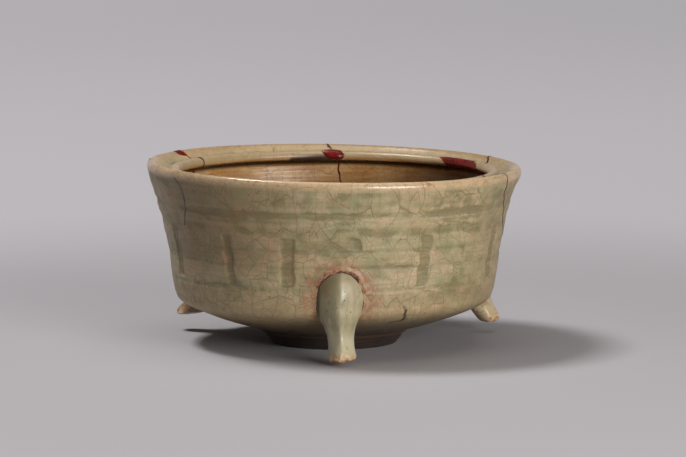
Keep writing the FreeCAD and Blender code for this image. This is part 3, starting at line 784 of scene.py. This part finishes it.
def luting_loop(rings):
    """The line where a leg meets the vessel: up one side of the leg and down the other."""
    distance = over_vessel(rings)[0]
    half = LEG_SPOTS // 2
    sides = ([], [])
    for ring, gaps in zip(rings, distance):
        for side, order in zip(sides, (np.arange(0, half + 1), -np.arange(0, half + 1))):
            outside = gaps[order] > 0
            change = np.flatnonzero(outside[:-1] & ~outside[1:])
            if len(change):
                first, after = order[change[0]], order[change[0] + 1]
                share = gaps[first] / (gaps[first] - gaps[after])
                side.append(ring[first] * (1 - share) + ring[after] * share)
    loop = np.array(sides[0] + sides[1][::-1] + sides[0][:1])
    at = lengths_along(loop)
    where = np.linspace(0, at[-1], LUTING_SPOTS, endpoint=False)
    loop = np.stack([np.interp(where, at, loop[:, part]) for part in range(3)], -1)
    for _ in range(4):
        loop = np.roll(loop, 1, 0) * 0.25 + loop * 0.5 + np.roll(loop, -1, 0) * 0.25
    return loop


# Across the slip round a leg: share of its width out from the leg, and rise over the wall
SLIP_SECTION = ((-0.35, -0.6), (-0.22, 0.25), (0.0, 0.45), (0.12, 0.30), (0.26, 0.85), (0.42, 0.85),
                (0.6, 0.52), (0.8, 0.2), (1.0, -0.05), (1.0, -0.7), (0.3, -0.9))
# Height over the toe that the top of every loop counts as
LUTING_TOP = 57.0


def luting_roll(loop, seed):
    """An uneven band of slip pressed on the wall round a leg's root, widest and rustiest over the top."""
    rng = np.random.default_rng(seed)
    normal = over_vessel(loop)[1]
    along = unit(np.roll(loop, -1, 0) - np.roll(loop, 1, 0))
    outward = unit(np.cross(along, normal))
    angles = whole_turn(LUTING_SPOTS)
    rough = sum(rng.normal(0, 0.5 / waves ** 0.5) * np.sin(waves * angles + rng.uniform(0, 2 * math.pi))
                for waves in range(3, 22))
    level = loop[:, 2] - loop[:, 2].max() + LUTING_TOP
    high = ease(42.0, 56.0, level)
    blob = np.exp(-((loop[:, 1] - 11.0) / 3.5) ** 2) * ease(41.0, 46.0, level)
    width = np.clip(1.8 + 2.8 * high + 2.4 * blob + 1.0 * rough, 1.2, 6.4)
    thick = np.clip(0.4 + 0.65 * high + 0.7 * blob + 0.3 * rough, 0.2, 1.7)
    rust = np.clip(0.15 + 0.7 * high + 0.9 * blob + 0.35 * rough, 0, 1)
    rings = []
    for share, rise in SLIP_SECTION:
        spot = loop + outward * (share * width)[:, None]
        gap, spot_normal = over_vessel(spot)
        lift = rise * thick if rise > 0 else rise
        rings.append(spot + spot_normal * (lift - gap)[:, None])
    vertices = np.stack(rings, 1).reshape(-1, 3)
    return vertices, tube_faces(LUTING_SPOTS, len(SLIP_SECTION), True), np.repeat(rust, len(SLIP_SECTION))


# Materials. Colours are display values from 0 to 255; places are in metres, but for those that
# the vessel's meshes carry, which are in millimetres.

def linear(red, green, blue):
    """A display colour as Blender wants it."""
    def one(value):
        value /= 255.0
        return value / 12.92 if value <= 0.04045 else ((value + 0.055) / 1.055) ** 2.4
    return (one(red), one(green), one(blue), 1.0)


def put(socket, value):
    """Feeds a socket from another one, or gives it a colour or a number."""
    if isinstance(value, bpy.types.NodeSocket):
        socket.id_data.links.new(value, socket)
    else:
        socket.default_value = linear(*value) if socket.type == "RGBA" else value


def node(kind, inputs, tree=None, **settings):
    """A new node beside what feeds it. Its inputs are given by order, or by name or number."""
    pairs = inputs if isinstance(inputs, dict) else dict(enumerate(inputs))
    for value in pairs.values():
        tree = value.id_data if isinstance(value, bpy.types.NodeSocket) else tree
    made = tree.nodes.new("ShaderNode" + kind)
    for name, value in settings.items():
        setattr(made, name, value)
    for name, value in pairs.items():
        put(made.inputs[name], value)
    return made


def maths(operation, first, *others, clamp=False):
    """An operation on one value, or on a few from left to right."""
    for other in others or (0.0,):
        first = node("Math", (first, other), operation=operation, use_clamp=clamp).outputs[0]
    return first


def times(*values):
    return maths("MULTIPLY", *values)


def vector(operation, *values):
    made = node("VectorMath", values, operation=operation)
    return made.outputs["Value" if operation in ("LENGTH", "DISTANCE") else "Vector"]


def split(place):
    return node("SeparateXYZ", (place,)).outputs


def join(x, y, z):
    return node("CombineXYZ", (x, y, z)).outputs[0]


def noise(place, scale, detail=3.0, roughness=0.6, output="Fac"):
    inputs = {"Vector": place, "Scale": scale, "Detail": detail, "Roughness": roughness}
    return node("TexNoise", inputs).outputs[output]


def voronoi(place, scale, feature, output, dimensions="3D", randomness=1.0):
    inputs = {"Vector": place, "Scale": scale, "Randomness": randomness}
    return node("TexVoronoi", inputs, voronoi_dimensions=dimensions, feature=feature).outputs[output]


def span(value, low, high, start=0.0, end=1.0):
    """value from low to high, smoothly mapped to start to end."""
    return node("MapRange", (value, low, high, start, end), interpolation_type="SMOOTHSTEP").outputs[0]


def mix(share, first, second):
    return node("Mix", {0: share, 6: first, 7: second}, data_type="RGBA").outputs[2]


def layers(colour, *coats):
    """A colour with others laid over it, each by its share."""
    for share, tone in coats:
        colour = mix(share, colour, tone)
    return colour


def bump(height, strength, distance):
    return node("Bump", {"Height": height, "Strength": strength, "Distance": distance}).outputs[0]


class Graph:
    """A new material's tree, and the places that its nodes start from."""

    def __init__(self, name):
        self.material = bpy.data.materials.new(name)
        self.material.use_nodes = True
        self.tree = self.material.node_tree
        self.place = node("TexCoord", (), self.tree).outputs["Object"]
        self.x, _, self.z = split(self.place)

    def attribute(self, name, output="Fac"):
        return node("Attribute", (), self.tree, attribute_name=name).outputs[output]

    def finish(self, colour, roughness, normal, coat=0.0, ior=1.5):
        values = {"Base Color": colour, "Roughness": roughness, "Normal": normal,
                  "IOR": ior, "Coat Weight": coat}
        for name, value in values.items():
            put(self.tree.nodes["Principled BSDF"].inputs[name], value)
        return self.material


class VesselGraph(Graph):
    """The celadon's nodes, with what the vessel's meshes carry at hand."""

    def __init__(self, name):
        super().__init__(name)
        self.across, path, self.height = split(self.attribute("unroll", "Vector"))
        self.flat = join(self.across, path, 0.0)
        self.relief, self.bare, self.tan, self.stain, self.mark = (
            self.attribute(name) for name in ("relief", "bare", "tan", "stain", "mark"))
        self.grain = noise(self.place, 900.0)
        self.lines, self.near = crackle(self)

    def streaks(self, across_scale, height_scale, start, detail=3.0, roughness=0.6):
        """Noise drawn out round the vessel."""
        place = join(times(self.across, across_scale), times(self.height, height_scale), start)
        return noise(place, 1.0, detail, roughness)

    def wandering(self, scale, detail, reach):
        """Noise that moves flat places by up to half its reach to every side."""
        colour = noise(self.flat, scale, detail, 0.5, output="Color")
        return vector("MULTIPLY", vector("SUBTRACT", colour, (0.5, 0.5, 0.5)), (reach, reach, 0.0))


# Crackle: size of its cells, width of its lines, how far they stretch upright,
# and how its strength comes and goes: scale of the noise, then the span of it
CRACKLE = (
    (16.0, 0.42, 0.8, 0.06, (0.32, 0.56, 0.5, 1.0)),
    (8.6, 0.38, 0.95, 0.045, (0.34, 0.56, 0.30, 0.85)),
    (4.8, 0.32, 1.3, 0.035, (0.42, 0.62, 0.05, 0.50)),
)


def crackle(graph):
    """Generations of crackle, each ending on the lines of the one before, and the glaze near them."""
    place = vector("ADD", graph.flat, graph.wandering(0.028, 0.0, 24.0))
    place = vector("ADD", place, graph.wandering(0.22, 1.0, 1.6))
    lines, near = [], []
    for cell, width, stretch, scale, strength in CRACKLE:
        place = vector("MULTIPLY", place, (1.0 / stretch, stretch, 0.0))
        edge, own = (voronoi(place, 1.0 / cell, feature, output, "2D", 0.82)
                     for feature, output in (("DISTANCE_TO_EDGE", "Distance"), ("F1", "Color")))
        strong = span(noise(graph.flat, scale, 2.0, 0.5), *strength)
        lines.append(times(span(edge, 0.2 * width / cell, width / cell, 1.0, 0.0), strong))
        near.append(times(span(edge, 0.0, 4.0 * width / cell, 1.0, 0.0), strong))
        place = vector("ADD", place, vector("MULTIPLY", own, (90.0, 90.0, 0.0)))
    return maths("MAXIMUM", *lines), maths("MAXIMUM", *near)


def iron_specks(graph, scale, share):
    """Dark iron dots, few and small."""
    speck = voronoi(graph.place, scale, "F1", "Distance")
    chosen = noise(graph.place, scale * 0.4, 1.0, 0.5)
    return times(span(speck, 0.09, 0.20, share, 0.0), span(chosen, 0.60, 0.65))


def even_glaze(graph):
    """Olive and buff glaze in clouds, patches, streaks and the pockets between cracks."""
    cloud = noise(graph.place, 16.0, 3.0, 0.55)
    patches = noise(graph.place, 55.0)
    streaks = graph.streaks(0.018, 0.30, 3.0)
    moved = vector("MULTIPLY", noise(graph.flat, 0.2, 2.0, 0.5, output="Color"), (7.0, 7.0, 0.0))
    pocket = voronoi(vector("ADD", graph.flat, moved), 0.11, "F1", "Color", "2D")
    greener, paler, _ = split(pocket)
    return layers(
        mix(span(cloud, 0.40, 0.60), (167, 149, 112), (153, 145, 108)),
        (span(patches, 0.46, 0.66, 0.0, 0.7), (178, 154, 120)),
        (span(streaks, 0.46, 0.66, 0.0, 0.7), (138, 134, 97)),
        (span(streaks, 0.44, 0.28, 0.0, 0.5), (176, 158, 124)),
        (span(greener, 0.62, 0.92, 0.0, 0.45), (132, 136, 101)),
        (span(paler, 0.66, 0.95, 0.0, 0.35), (184, 168, 134)),
    )


def glaze_over_relief(graph, body):
    """Greener where the glaze pools, paler where it runs thin, and pinkish low on the wall."""
    broken = graph.streaks(0.06, 0.5, 0.0)
    blur = span(noise(graph.place, 130.0), 0.3, 0.7, -0.17, 0.17)
    relief = maths("ADD", graph.relief, blur)
    pink = graph.streaks(0.05, 0.16, 5.0, 4.0, 0.7)
    pooled = times(span(relief, 0.08, -0.34, 0.0, 0.95), span(broken, 0.68, 0.42, 0.60, 1.0))
    thin = times(span(relief, 0.02, 0.38, 0.0, 0.80), span(broken, 0.38, 0.60, 0.1, 1.0))
    pinks = times(span(pink, 0.52, 0.70, 0.0, 0.60), span(graph.height, 84.0, 70.0, 0.25, 1.0))
    return layers(body, (pooled, (119, 110, 76)), (thin, (186, 161, 129)), (pinks, (182, 149, 120)))


def kiln_tones_and_painted_shade(graph, body):
    """Browner at the left and the right as painted shade, rusty round the front leg, and dark underneath as
    painted shade.
    """
    across, height = graph.across, graph.height
    # Painted shade: shaded darkens the wall towards the left, and turned towards the right edge
    shaded = times(span(across, 5.0, -72.0, 0.0, 0.6), span(across, -152.0, -92.0), span(height, 44.0, 66.0))
    turned = times(span(across, 88.0, 125.0, 0.0, 0.30), span(across, 240.0, 170.0))
    upright = vector("MULTIPLY", graph.place, (1.0, 0.0, 1.0))
    from_root = vector("DISTANCE", upright, (0.004, 0.0, 0.041))
    blotches = span(noise(graph.place, 240.0, 4.0, 0.7), 0.42, 0.58, 0.15, 0.85)
    rusty = times(span(from_root, 0.029, 0.016), span(across, 60.0, 40.0), blotches,
                  span(across, -60.0, -40.0))
    return layers(
        body,
        (times(span(height, 48.0, 34.0), 0.45), (168, 142, 106)),
        (shaded, (112, 92, 56)),
        (turned, (118, 101, 68)),
        (rusty, (148, 92, 66)),
        # Painted shade: darker underneath, nearly black near the foot
        (span(height, 26.0, 18.0, 0.0, 0.72), (92, 68, 42)),
        (span(height, 18.5, 13.0, 0.0, 0.75), (40, 26, 14)),
        (span(graph.grain, 0.35, 0.75, 0.0, 0.18), (100, 88, 58)),
    )


def cracked_glaze(graph, body):
    """Crackle stained grey in some parts and rusty in others, and iron specks."""
    stained = span(noise(graph.flat, 0.09, 2.0, 0.5), 0.50, 0.66)
    return layers(
        body,
        (times(graph.near, 0.18), mix(stained, (134, 118, 82), (190, 142, 112))),
        (times(graph.lines, 0.52), mix(stained, (96, 76, 46), (140, 88, 62))),
        (iron_specks(graph, 300.0, 0.75), (64, 44, 30)),
    )


def tan_rim(graph, body):
    """The lip and the bead: tan with flecks of rust, and darker at the back as painted shade."""
    tan = graph.tan
    worn = span(noise(graph.place, 45.0, 4.0, 0.7), 0.34, 0.62, 0.62, 1.0)
    # Painted shade: the lip and bead are darkened at the back
    painted_shade_behind = span(maths("ABSOLUTE", graph.across), 130.0, 260.0, 0.0, 0.60)
    rust = span(noise(graph.place, 170.0, 3.0, 0.7), 0.57, 0.67, 0.0, 0.60)
    return layers(
        body,
        (times(tan, worn), (188, 160, 124)),
        (times(painted_shade_behind, tan), (150, 122, 86)),
        (times(tan, rust), (140, 92, 54)),
        (times(graph.lines, tan, 0.30), (112, 72, 46)),
    )


def stained_inside(graph, body):
    """Golden brown inside, darker at the right as painted shade, and nearly black under the bead as painted
    shadow.
    """
    soak = graph.streaks(0.03, 0.16, 8.0, 4.0, 0.65)
    brown = layers(
        mix(span(soak, 0.36, 0.64), (196, 158, 108), (168, 120, 64)),
        (times(graph.lines, 0.4), (84, 54, 32)),
        (span(graph.height, 96.0, 84.0, 0.0, 0.6), (126, 82, 38)),
        # Painted shade: the inner wall on the right side is darkened
        (span(graph.x, 0.03, 0.09, 0.0, 0.6), (64, 38, 14)),
    )
    # Painted shadow: nearly black under the bead, where the section's number passes 1.2
    return layers(body, (graph.stain, brown), (span(graph.stain, 1.20, 1.90), (40, 25, 12)))


def unglazed_clay_and_painted_shade(graph):
    """Clay where the glaze stops: warm brown inside, and darkened nearly to black underneath as painted
    shade.
    """
    clouds = noise(graph.place, 30.0, 5.0, 0.65)
    return layers(
        mix(span(clouds, 0.34, 0.66), (104, 70, 44), (146, 102, 66)),
        (span(noise(graph.place, 320.0), 0.5, 0.7, 0.0, 0.6), (76, 50, 32)),
        # Painted shade: nearly black on the underside
        (times(span(graph.height, 26.0, 18.0, 0.0, 0.8), span(graph.stain, 1.0, 0.0)), (34, 21, 11)),
    )


def celadon():
    """Crackled celadon glaze: olive where thin, greener where it pools, bare where it stops."""
    graph = VesselGraph("celadon")
    body = even_glaze(graph)
    for coat in (glaze_over_relief, kiln_tones_and_painted_shade, cracked_glaze, tan_rim, stained_inside):
        body = coat(graph, body)
    colour = layers(body, (graph.mark, (42, 18, 10)), (graph.bare, unglazed_clay_and_painted_shade(graph)))

    inside = times(graph.stain, span(graph.height, 45.0, 88.0), 0.5)
    shiny = times(maths("MAXIMUM", graph.tan, inside, clamp=True), 0.32)
    glazed = maths("SUBTRACT", span(noise(graph.place, 75.0), 0.30, 0.70, 0.48, 0.62), shiny)
    roughness = maths("MAXIMUM", span(graph.bare, 0.0, 1.0, glazed, 0.85), times(graph.mark, 0.7))
    dented = maths("ADD", times(graph.lines, -0.35), noise(graph.place, 190.0, 3.0, 0.55))
    gritty = times(graph.grain, graph.bare, 2.0)
    return graph.finish(colour, roughness, bump(maths("ADD", dented, gritty), 0.32, 0.0004), coat=0.05)


def leg_glaze():
    """The legs' own glaze: even and greener, bare and pale at the toe, with painted shade on the left flank
    and edge.
    """
    graph = Graph("leg_celadon")
    place, x, z = graph.place, graph.x, graph.z
    tip, side = graph.attribute("tip"), graph.attribute("side")
    cloud = noise(place, 50.0, 3.0, 0.55)
    stroke = noise(vector("MULTIPLY", place, (1.0, 1.0, 0.16)), 190.0)
    ragged = maths("ADD", tip, span(noise(place, 420.0, 3.0, 0.7), 0.30, 0.70, -0.22, 0.22))
    unglazed = span(ragged, 0.46, 0.60)
    clay = mix(span(noise(place, 260.0, 4.0, 0.65), 0.38, 0.62), (150, 104, 66), (206, 180, 146))
    colour = layers(
        mix(span(cloud, 0.36, 0.66), (150, 141, 110), (163, 151, 121)),
        # Painted shade: the leg's left flank is darker
        (span(side, 0.1, -0.5, 0.0, 0.6), (126, 119, 90)),
        (span(stroke, 0.50, 0.70, 0.0, 0.8), (174, 159, 130)),
        (span(stroke, 0.46, 0.30, 0.0, 0.75), (130, 123, 92)),
        # Brown at the upper left, a pale shank, a dark left edge that is painted contact shadow, and the tan
        # right and left legs
        (times(span(side, -0.2, -1.2), span(z, 0.034, 0.046, 0.0, 0.6)), (112, 92, 58)),
        (span(z, 0.026, 0.012, 0.0, 0.7), (192, 183, 154)),
        (span(side, -1.46, -1.70, 0.0, 0.85), (72, 52, 30)),
        (span(maths("ABSOLUTE", x), 0.050, 0.075, 0.0, 0.85), (178, 158, 122)),
        (span(x, -0.050, -0.075, 0.0, 0.85), mix(span(cloud, 0.4, 0.6), (112, 80, 46), (142, 108, 66))),
        (span(noise(place, 120.0, 4.0, 0.7), 0.57, 0.66, 0.0, 0.5), (112, 84, 52)),
        (iron_specks(graph, 260.0, 0.8), (58, 44, 28)),
        # The glaze ends ragged over the toe
        (span(ragged, 0.20, 0.48, 0.0, 0.75), (182, 156, 116)),
        (unglazed, clay),
    )
    # z is the height over the table; the leg bends at 34 mm
    from_bend = maths("ABSOLUTE", maths("SUBTRACT", z, 0.034))
    dull_bend = span(from_bend, 0.008, 0.003, 0.0, 0.22)
    gloss = maths("ADD", span(noise(place, 160.0), 0.3, 0.7, 0.26, 0.46), dull_bend)
    roughness = maths("MAXIMUM", gloss, times(unglazed, 0.62))
    lumps = times(noise(place, 330.0), span(unglazed, 0.0, 1.0, 0.25, 1.6))
    dented = maths("ADD", noise(place, 150.0, 2.0, 0.5), lumps)
    return graph.finish(colour, roughness, bump(dented, 0.35, 0.0005))


def slip():
    """The luting slip: rusty where the glaze runs thin over it, dark as painted shade in the crevice where it
    meets the leg.
    """
    graph = Graph("luting_slip")
    seat, rust = graph.attribute("seat"), graph.attribute("rust")
    blotch = noise(graph.place, 240.0, 4.0, 0.65)
    ragged = maths("ADD", seat, span(noise(graph.place, 230.0, 3.0, 0.7), 0.3, 0.7, -0.34, 0.34))
    little_rust = span(maths("ADD", rust, maths("SUBTRACT", blotch, 0.5)), 0.46, 0.16)
    colour = layers(
        mix(span(blotch, 0.36, 0.64), (136, 82, 56), (170, 126, 94)),
        (span(noise(graph.place, 420.0, 2.0), 0.46, 0.62, 0.0, 0.85), (84, 42, 28)),
        (little_rust, (160, 138, 102)),
        (span(ragged, 0.62, 0.40, 0.0, 0.8), (156, 126, 94)),
        # Painted shade: dark in the crevice against the leg
        (span(seat, 0.80, 0.96, 0.0, 0.94), (40, 23, 14)),
    )
    normal = bump(noise(graph.place, 500.0), 0.7, 0.0005)
    return graph.finish(colour, span(blotch, 0.3, 0.7, 0.40, 0.62), normal)


def lacquer(name, deep, bright):
    """Old lacquer: deep, with a soft shine and a little wear."""
    graph = Graph(name)
    depth = noise(graph.place, 90.0, 3.0, 0.55)
    worn = noise(graph.place, 380.0, 4.0, 0.65)
    worn_through = span(worn, 0.56, 0.72, 0.0, 0.45)
    colour = layers(mix(span(depth, 0.34, 0.68), deep, bright), (worn_through, (44, 14, 8)))
    normal = bump(noise(graph.place, 240.0, 2.0, 0.5), 0.7, 0.0010)
    return graph.finish(colour, span(worn, 0.3, 0.7, 0.24, 0.36), normal, ior=1.34)


def bare_clay():
    """Unglazed stoneware of the foot: burnt dark clay, darkened further nearly to black as painted shade,
    with turning marks.
    """
    graph = Graph("bare_stoneware")
    rings = noise(join(0.0, 0.0, times(graph.z, 900.0)), 1.0)
    blotch = noise(graph.place, 60.0, 5.0, 0.65)
    grit = noise(graph.place, 1100.0)
    # The foot's colours are burnt clay, darkened as painted shade under the bowl
    colour = layers(
        mix(span(blotch, 0.34, 0.66), (22, 13, 6), (46, 28, 15)),
        (span(rings, 0.5, 0.7, 0.0, 0.5), (34, 19, 10)),
        (span(grit, 0.6, 0.75, 0.0, 0.30), (88, 60, 38)),
    )
    normal = bump(maths("ADD", grit, rings), 0.5, 0.0004)
    return graph.finish(colour, span(grit, 0.3, 0.7, 0.70, 0.92), normal)


MATERIALS = {
    "celadon": celadon(),
    "leg": leg_glaze(),
    "slip": slip(),
    "lacquer": lacquer("red_lacquer", (88, 15, 9), (120, 25, 15)),
    "seam": lacquer("dark_red_lacquer", (58, 16, 9), (92, 24, 14)),
    "clay": bare_clay(),
}


# The bowl and the sherds

def build_vessel():
    """The bowl and the sherds, each closed by its broken faces."""
    right, left = COLUMN_OF["right"], COLUMN_OF["left"]
    bowl = np.ones((len(ROW_RADIUS) - 1, COLUMNS), bool)
    for name, (first, last) in SHERDS.items():
        cells = np.zeros_like(bowl)
        cells[OUTER_BREAK:INNER_BREAK, first:last] = True
        bowl &= ~cells
        caps = [side_cap(first, False), side_cap(last, True)] + low_caps(first, last, False)
        shell_piece(name + "_sherd", cells, caps)
    caps = [side_cap(right, True), side_cap(left, False)]
    caps += low_caps(right, COLUMNS, True) + low_caps(0, left, True)
    shell_piece("bowl", bowl, caps)


def build_seams():
    """The lacquer along the breaks: all round the right sherd, and along three sides of the others."""
    up = range(OUTER_BREAK, INNER_BREAK + 1)
    for (name, (first, last)), half, seed in zip(SHERDS.items(), (0.62, 0.7, 1.45), (5, 6, 7)):
        closed = name == "right"
        path = [(OUTER_BREAK, column) for column in range(first, last)]
        path += [(row, last) for row in up]
        path += [(INNER_BREAK, column) for column in range(last - 1, first, -1)]
        if closed:
            path += [(row, first) for row in reversed(up)][:-1]
        seam = lacquer_line(name + "_seam_lacquer", *break_path(path), half, closed, seed)
        finish_piece(seam, "red_lacquer", name + "_seam_lacquer")


def build_fills():
    """Lacquer that makes up lost bits of the bead, the lip and the lip's edge."""
    crest = row_at(BEAD_RADIUS + 1.6, RIM_HEIGHT - 0.8)
    lip = row_at(MOUTH_RADIUS - 4.6, RIM_HEIGHT - 0.3)
    edge = row_at(MOUTH_RADIUS - 1.0, RIM_HEIGHT - 1.0)
    # Angle, row, half its angle, half its rows, how proud and how square it is, slant and seed
    fills = {
        "right_bead_fill": (122.6, crest + 6, 11.4, 10.5, 0.35, 4.0, -2.6, 11),
        "back_bead_fill": (180.6, crest + 3, 3.7, 10.5, 1.1, 2.8, 0.0, 12),
        "left_lip_fill": (-118.6, lip + 1, 3.0, 7.5, 0.25, 2.4, -1.0, 13),
        "left_lip_chip_fill": (-94.0, edge, 1.4, 2.6, 0.35, 2.0, 0.0, 14),
    }
    for name, values in fills.items():
        finish_piece(patch(name, *values), "red_lacquer", name)


def build_legs():
    """The three legs and the slip round their roots."""
    for seed, (side, (turn, lift)) in enumerate(LEG_SIDES.items()):
        rings = leg_surface(side)
        leg = make_object(side + "_leg", turned_to(rings, turn).reshape(-1, 3),
                          tube_faces(LEG_LEVELS, LEG_SPOTS, False), MATERIALS["leg"], 60.0)
        x, y, heights = rings.reshape(-1, 3).T - [[TOE_RADIUS], [0.0], [lift]]
        add_attribute(leg, "tip", np.clip(1.05 - heights / 8.0, 0, 1) * np.clip(0.45 + x / 10.0, 0.3, 1))
        add_attribute(leg, "side", y / 8.0)
        finish_piece(leg, "celadon_glaze", side + "_leg")
        places, faces, rust = luting_roll(luting_loop(rings), 21 + seed)
        roll = make_object(side + "_leg_luting", turned_to(places, turn), faces, MATERIALS["slip"], 80.0)
        seat = np.clip([1.0 - share for share, rise in SLIP_SECTION], 0, 1)
        add_attribute(roll, "seat", np.tile(seat, len(places) // len(seat)))
        add_attribute(roll, "rust", rust)
        finish_piece(roll, "luting_slip", side + "_leg_luting")


FOOT_SPOTS = 240
FOOT_CURVE = (
    (33.6, FOOT_HEIGHT + 0.6), (33.5, 4.2), (33.7, 1.2), (34.4, 0.25), (36.6, 0.0), (38.8, 0.2),
    (39.7, 1.0), (41.3, 3.2), (43.1, 5.6), (FOOT_TOP_RADIUS, FOOT_HEIGHT + 0.4),
)


def build_foot():
    """The foot ring, turned from its section, which closes inside the bowl's clay."""
    outline = curve_through(FOOT_CURVE, 0.45)
    turns = np.linspace(0, 360, FOOT_SPOTS, endpoint=False)
    rings = []
    for radius, height in outline:
        wobble = 0.12 * np.sin(height * 2.9) + 0.15 * unevenness(turns, height, 31)
        rings.append(round_axis(turns, radius + wobble, max(height, 0.0)))
    faces = [face[::-1] for face in tube_faces(len(outline), FOOT_SPOTS, True)]
    foot = make_object("foot_ring", np.vstack(rings), faces, MATERIALS["clay"], 50.0)
    finish_piece(foot, "bare_stoneware", "foot_ring")


build_vessel()
build_seams()
build_fills()
build_legs()
build_foot()


# Floor, light and camera

BACKDROP = (180, 176, 179)
BACKDROP_TOP = (64, 62, 64)
LAMP_TARGET = Vector((0.0, 0.0, 0.06))
# Name, place, width, height, power and colour
LAMPS = (
    ("key", (1.10, -1.52, 0.42), 1.1, 0.6, 34.0, (1.0, 0.985, 0.955)),
    ("top_left", (-0.80, 0.26, 1.85), 0.5, 0.5, 30.5, (1.0, 0.995, 0.99)),
    ("overhead", (0.15, 0.0, 1.9), 1.4, 1.4, 8.0, (1.0, 1.0, 1.0)),
)
AMBIENT = (0.10, 0.10, 0.103, 1.0)
AMBIENT_STRENGTH = 0.55


def seen_directly(tree):
    """1 for rays from the camera, mirrors and glass, 0 for those that carry light."""
    rays = node("LightPath", (), tree).outputs
    return maths("MAXIMUM", *(rays["Is %s Ray" % kind] for kind in ("Camera", "Glossy", "Transmission")))


def floor_material():
    """Pale paper that turns into a glowing backdrop away from the vessel, its tones painted light, lighter
    near the vessel and at the left.
    """
    graph = Graph("studio_paper")
    tone = noise(graph.place, 1.2, 2.0, 0.5)
    colour = mix(span(tone, 0.3, 0.7), (166, 162, 165), (170, 166, 169))
    graph.finish(colour, 0.9, bump(tone, 0.02, 0.0002))
    away = vector("LENGTH", graph.place)
    side = span(graph.x, -0.8, 0.8)
    # Painted light: the glow is lighter near the vessel and at the left, as the lamps' fall-off
    near_tone = mix(side, (190, 186, 189), (183, 179, 182))
    far_tone = mix(side, (179, 175, 178), (171, 168, 171))
    glow = node("Emission", (mix(span(away, 0.8, 3.0), near_tone, far_tone),))
    share = times(span(away, 0.26, 0.75), seen_directly(graph.tree))
    paper = graph.tree.nodes["Principled BSDF"]
    blend = node("MixShader", (share, paper.outputs[0], glow.outputs[0]))
    put(graph.tree.nodes["Material Output"].inputs["Surface"], blend.outputs[0])
    return graph.material


def studio_floor():
    """A wide round floor of rings of faces."""
    count, radii = 96, (0.4, 1.0, 2.5, 9.0)
    angles = [2 * math.pi * spot / count for spot in range(count)]
    places = [(0.0, 0.0, 0.0)]
    places += [(radius * math.cos(angle), radius * math.sin(angle), 0.0)
               for radius in radii for angle in angles]
    mesh = bpy.data.meshes.new("studio_floor")
    mesh.from_pydata(places, [], disc_faces(len(radii), count))
    mesh.materials.append(floor_material())
    floor = bpy.data.objects.new("studio_floor", mesh)
    bpy.context.scene.collection.objects.link(floor)


def facing(thing, place, target):
    """Puts a lamp or a camera in the scene, turned to a target."""
    piece = bpy.data.objects.new(thing.name, thing)
    piece.location = place
    piece.rotation_euler = (target - Vector(place)).to_track_quat("-Z", "Y").to_euler()
    bpy.context.scene.collection.objects.link(piece)
    return piece


def studio_light():
    """The lamps, a faint light from all round, and the backdrop that only the camera sees."""
    for name, place, width, height, power, colour in LAMPS:
        lamp = bpy.data.lights.new(name, "AREA")
        lamp.shape = "RECTANGLE"
        lamp.size, lamp.size_y = width, height
        lamp.energy, lamp.color = power, colour
        facing(lamp, place, LAMP_TARGET)
    world = bpy.data.worlds.new("studio")
    bpy.context.scene.world = world
    world.use_nodes = True
    tree = world.node_tree
    ambient = tree.nodes["Background"]
    ambient.inputs["Color"].default_value = AMBIENT
    ambient.inputs["Strength"].default_value = AMBIENT_STRENGTH
    fade = node("ValToRGB", (split(node("TexCoord", (), tree).outputs["Generated"])[2],))
    for spot, position, tone in zip(fade.color_ramp.elements, (0.10, 0.55), (BACKDROP, BACKDROP_TOP)):
        spot.position, spot.color = position, linear(*tone)
    seen = node("Background", (fade.outputs[0],))
    blend = node("MixShader", (seen_directly(tree), ambient.outputs[0], seen.outputs[0]))
    put(tree.nodes["World Output"].inputs["Surface"], blend.outputs[0])


# The photograph's frame is 686 by 457 pixels. Its view was fitted to the lip's ellipse.
PHOTO_WIDTH = 686.0
FOCAL_PIXELS = 4738.0
SENSOR_WIDTH = 36.0
CAMERA_DISTANCE = 3.0
CAMERA_RISE = math.radians(7.24)
ORBIT_HEIGHT = 0.05
AIM = Vector((0.00564, 0.0, 0.0719))


def place_camera():
    """A long lens far off and a little above, as the photo shows it."""
    data = bpy.data.cameras.new("camera")
    data.sensor_width = SENSOR_WIDTH
    data.lens = SENSOR_WIDTH * FOCAL_PIXELS / PHOTO_WIDTH
    data.clip_start = 0.1
    data.clip_end = 20.0
    back, up = CAMERA_DISTANCE * math.cos(CAMERA_RISE), CAMERA_DISTANCE * math.sin(CAMERA_RISE)
    bpy.context.scene.camera = facing(data, (0.0, -back, ORBIT_HEIGHT + up), AIM)


studio_floor()
studio_light()
place_camera()
bpy.context.scene.view_settings.view_transform = "Standard"
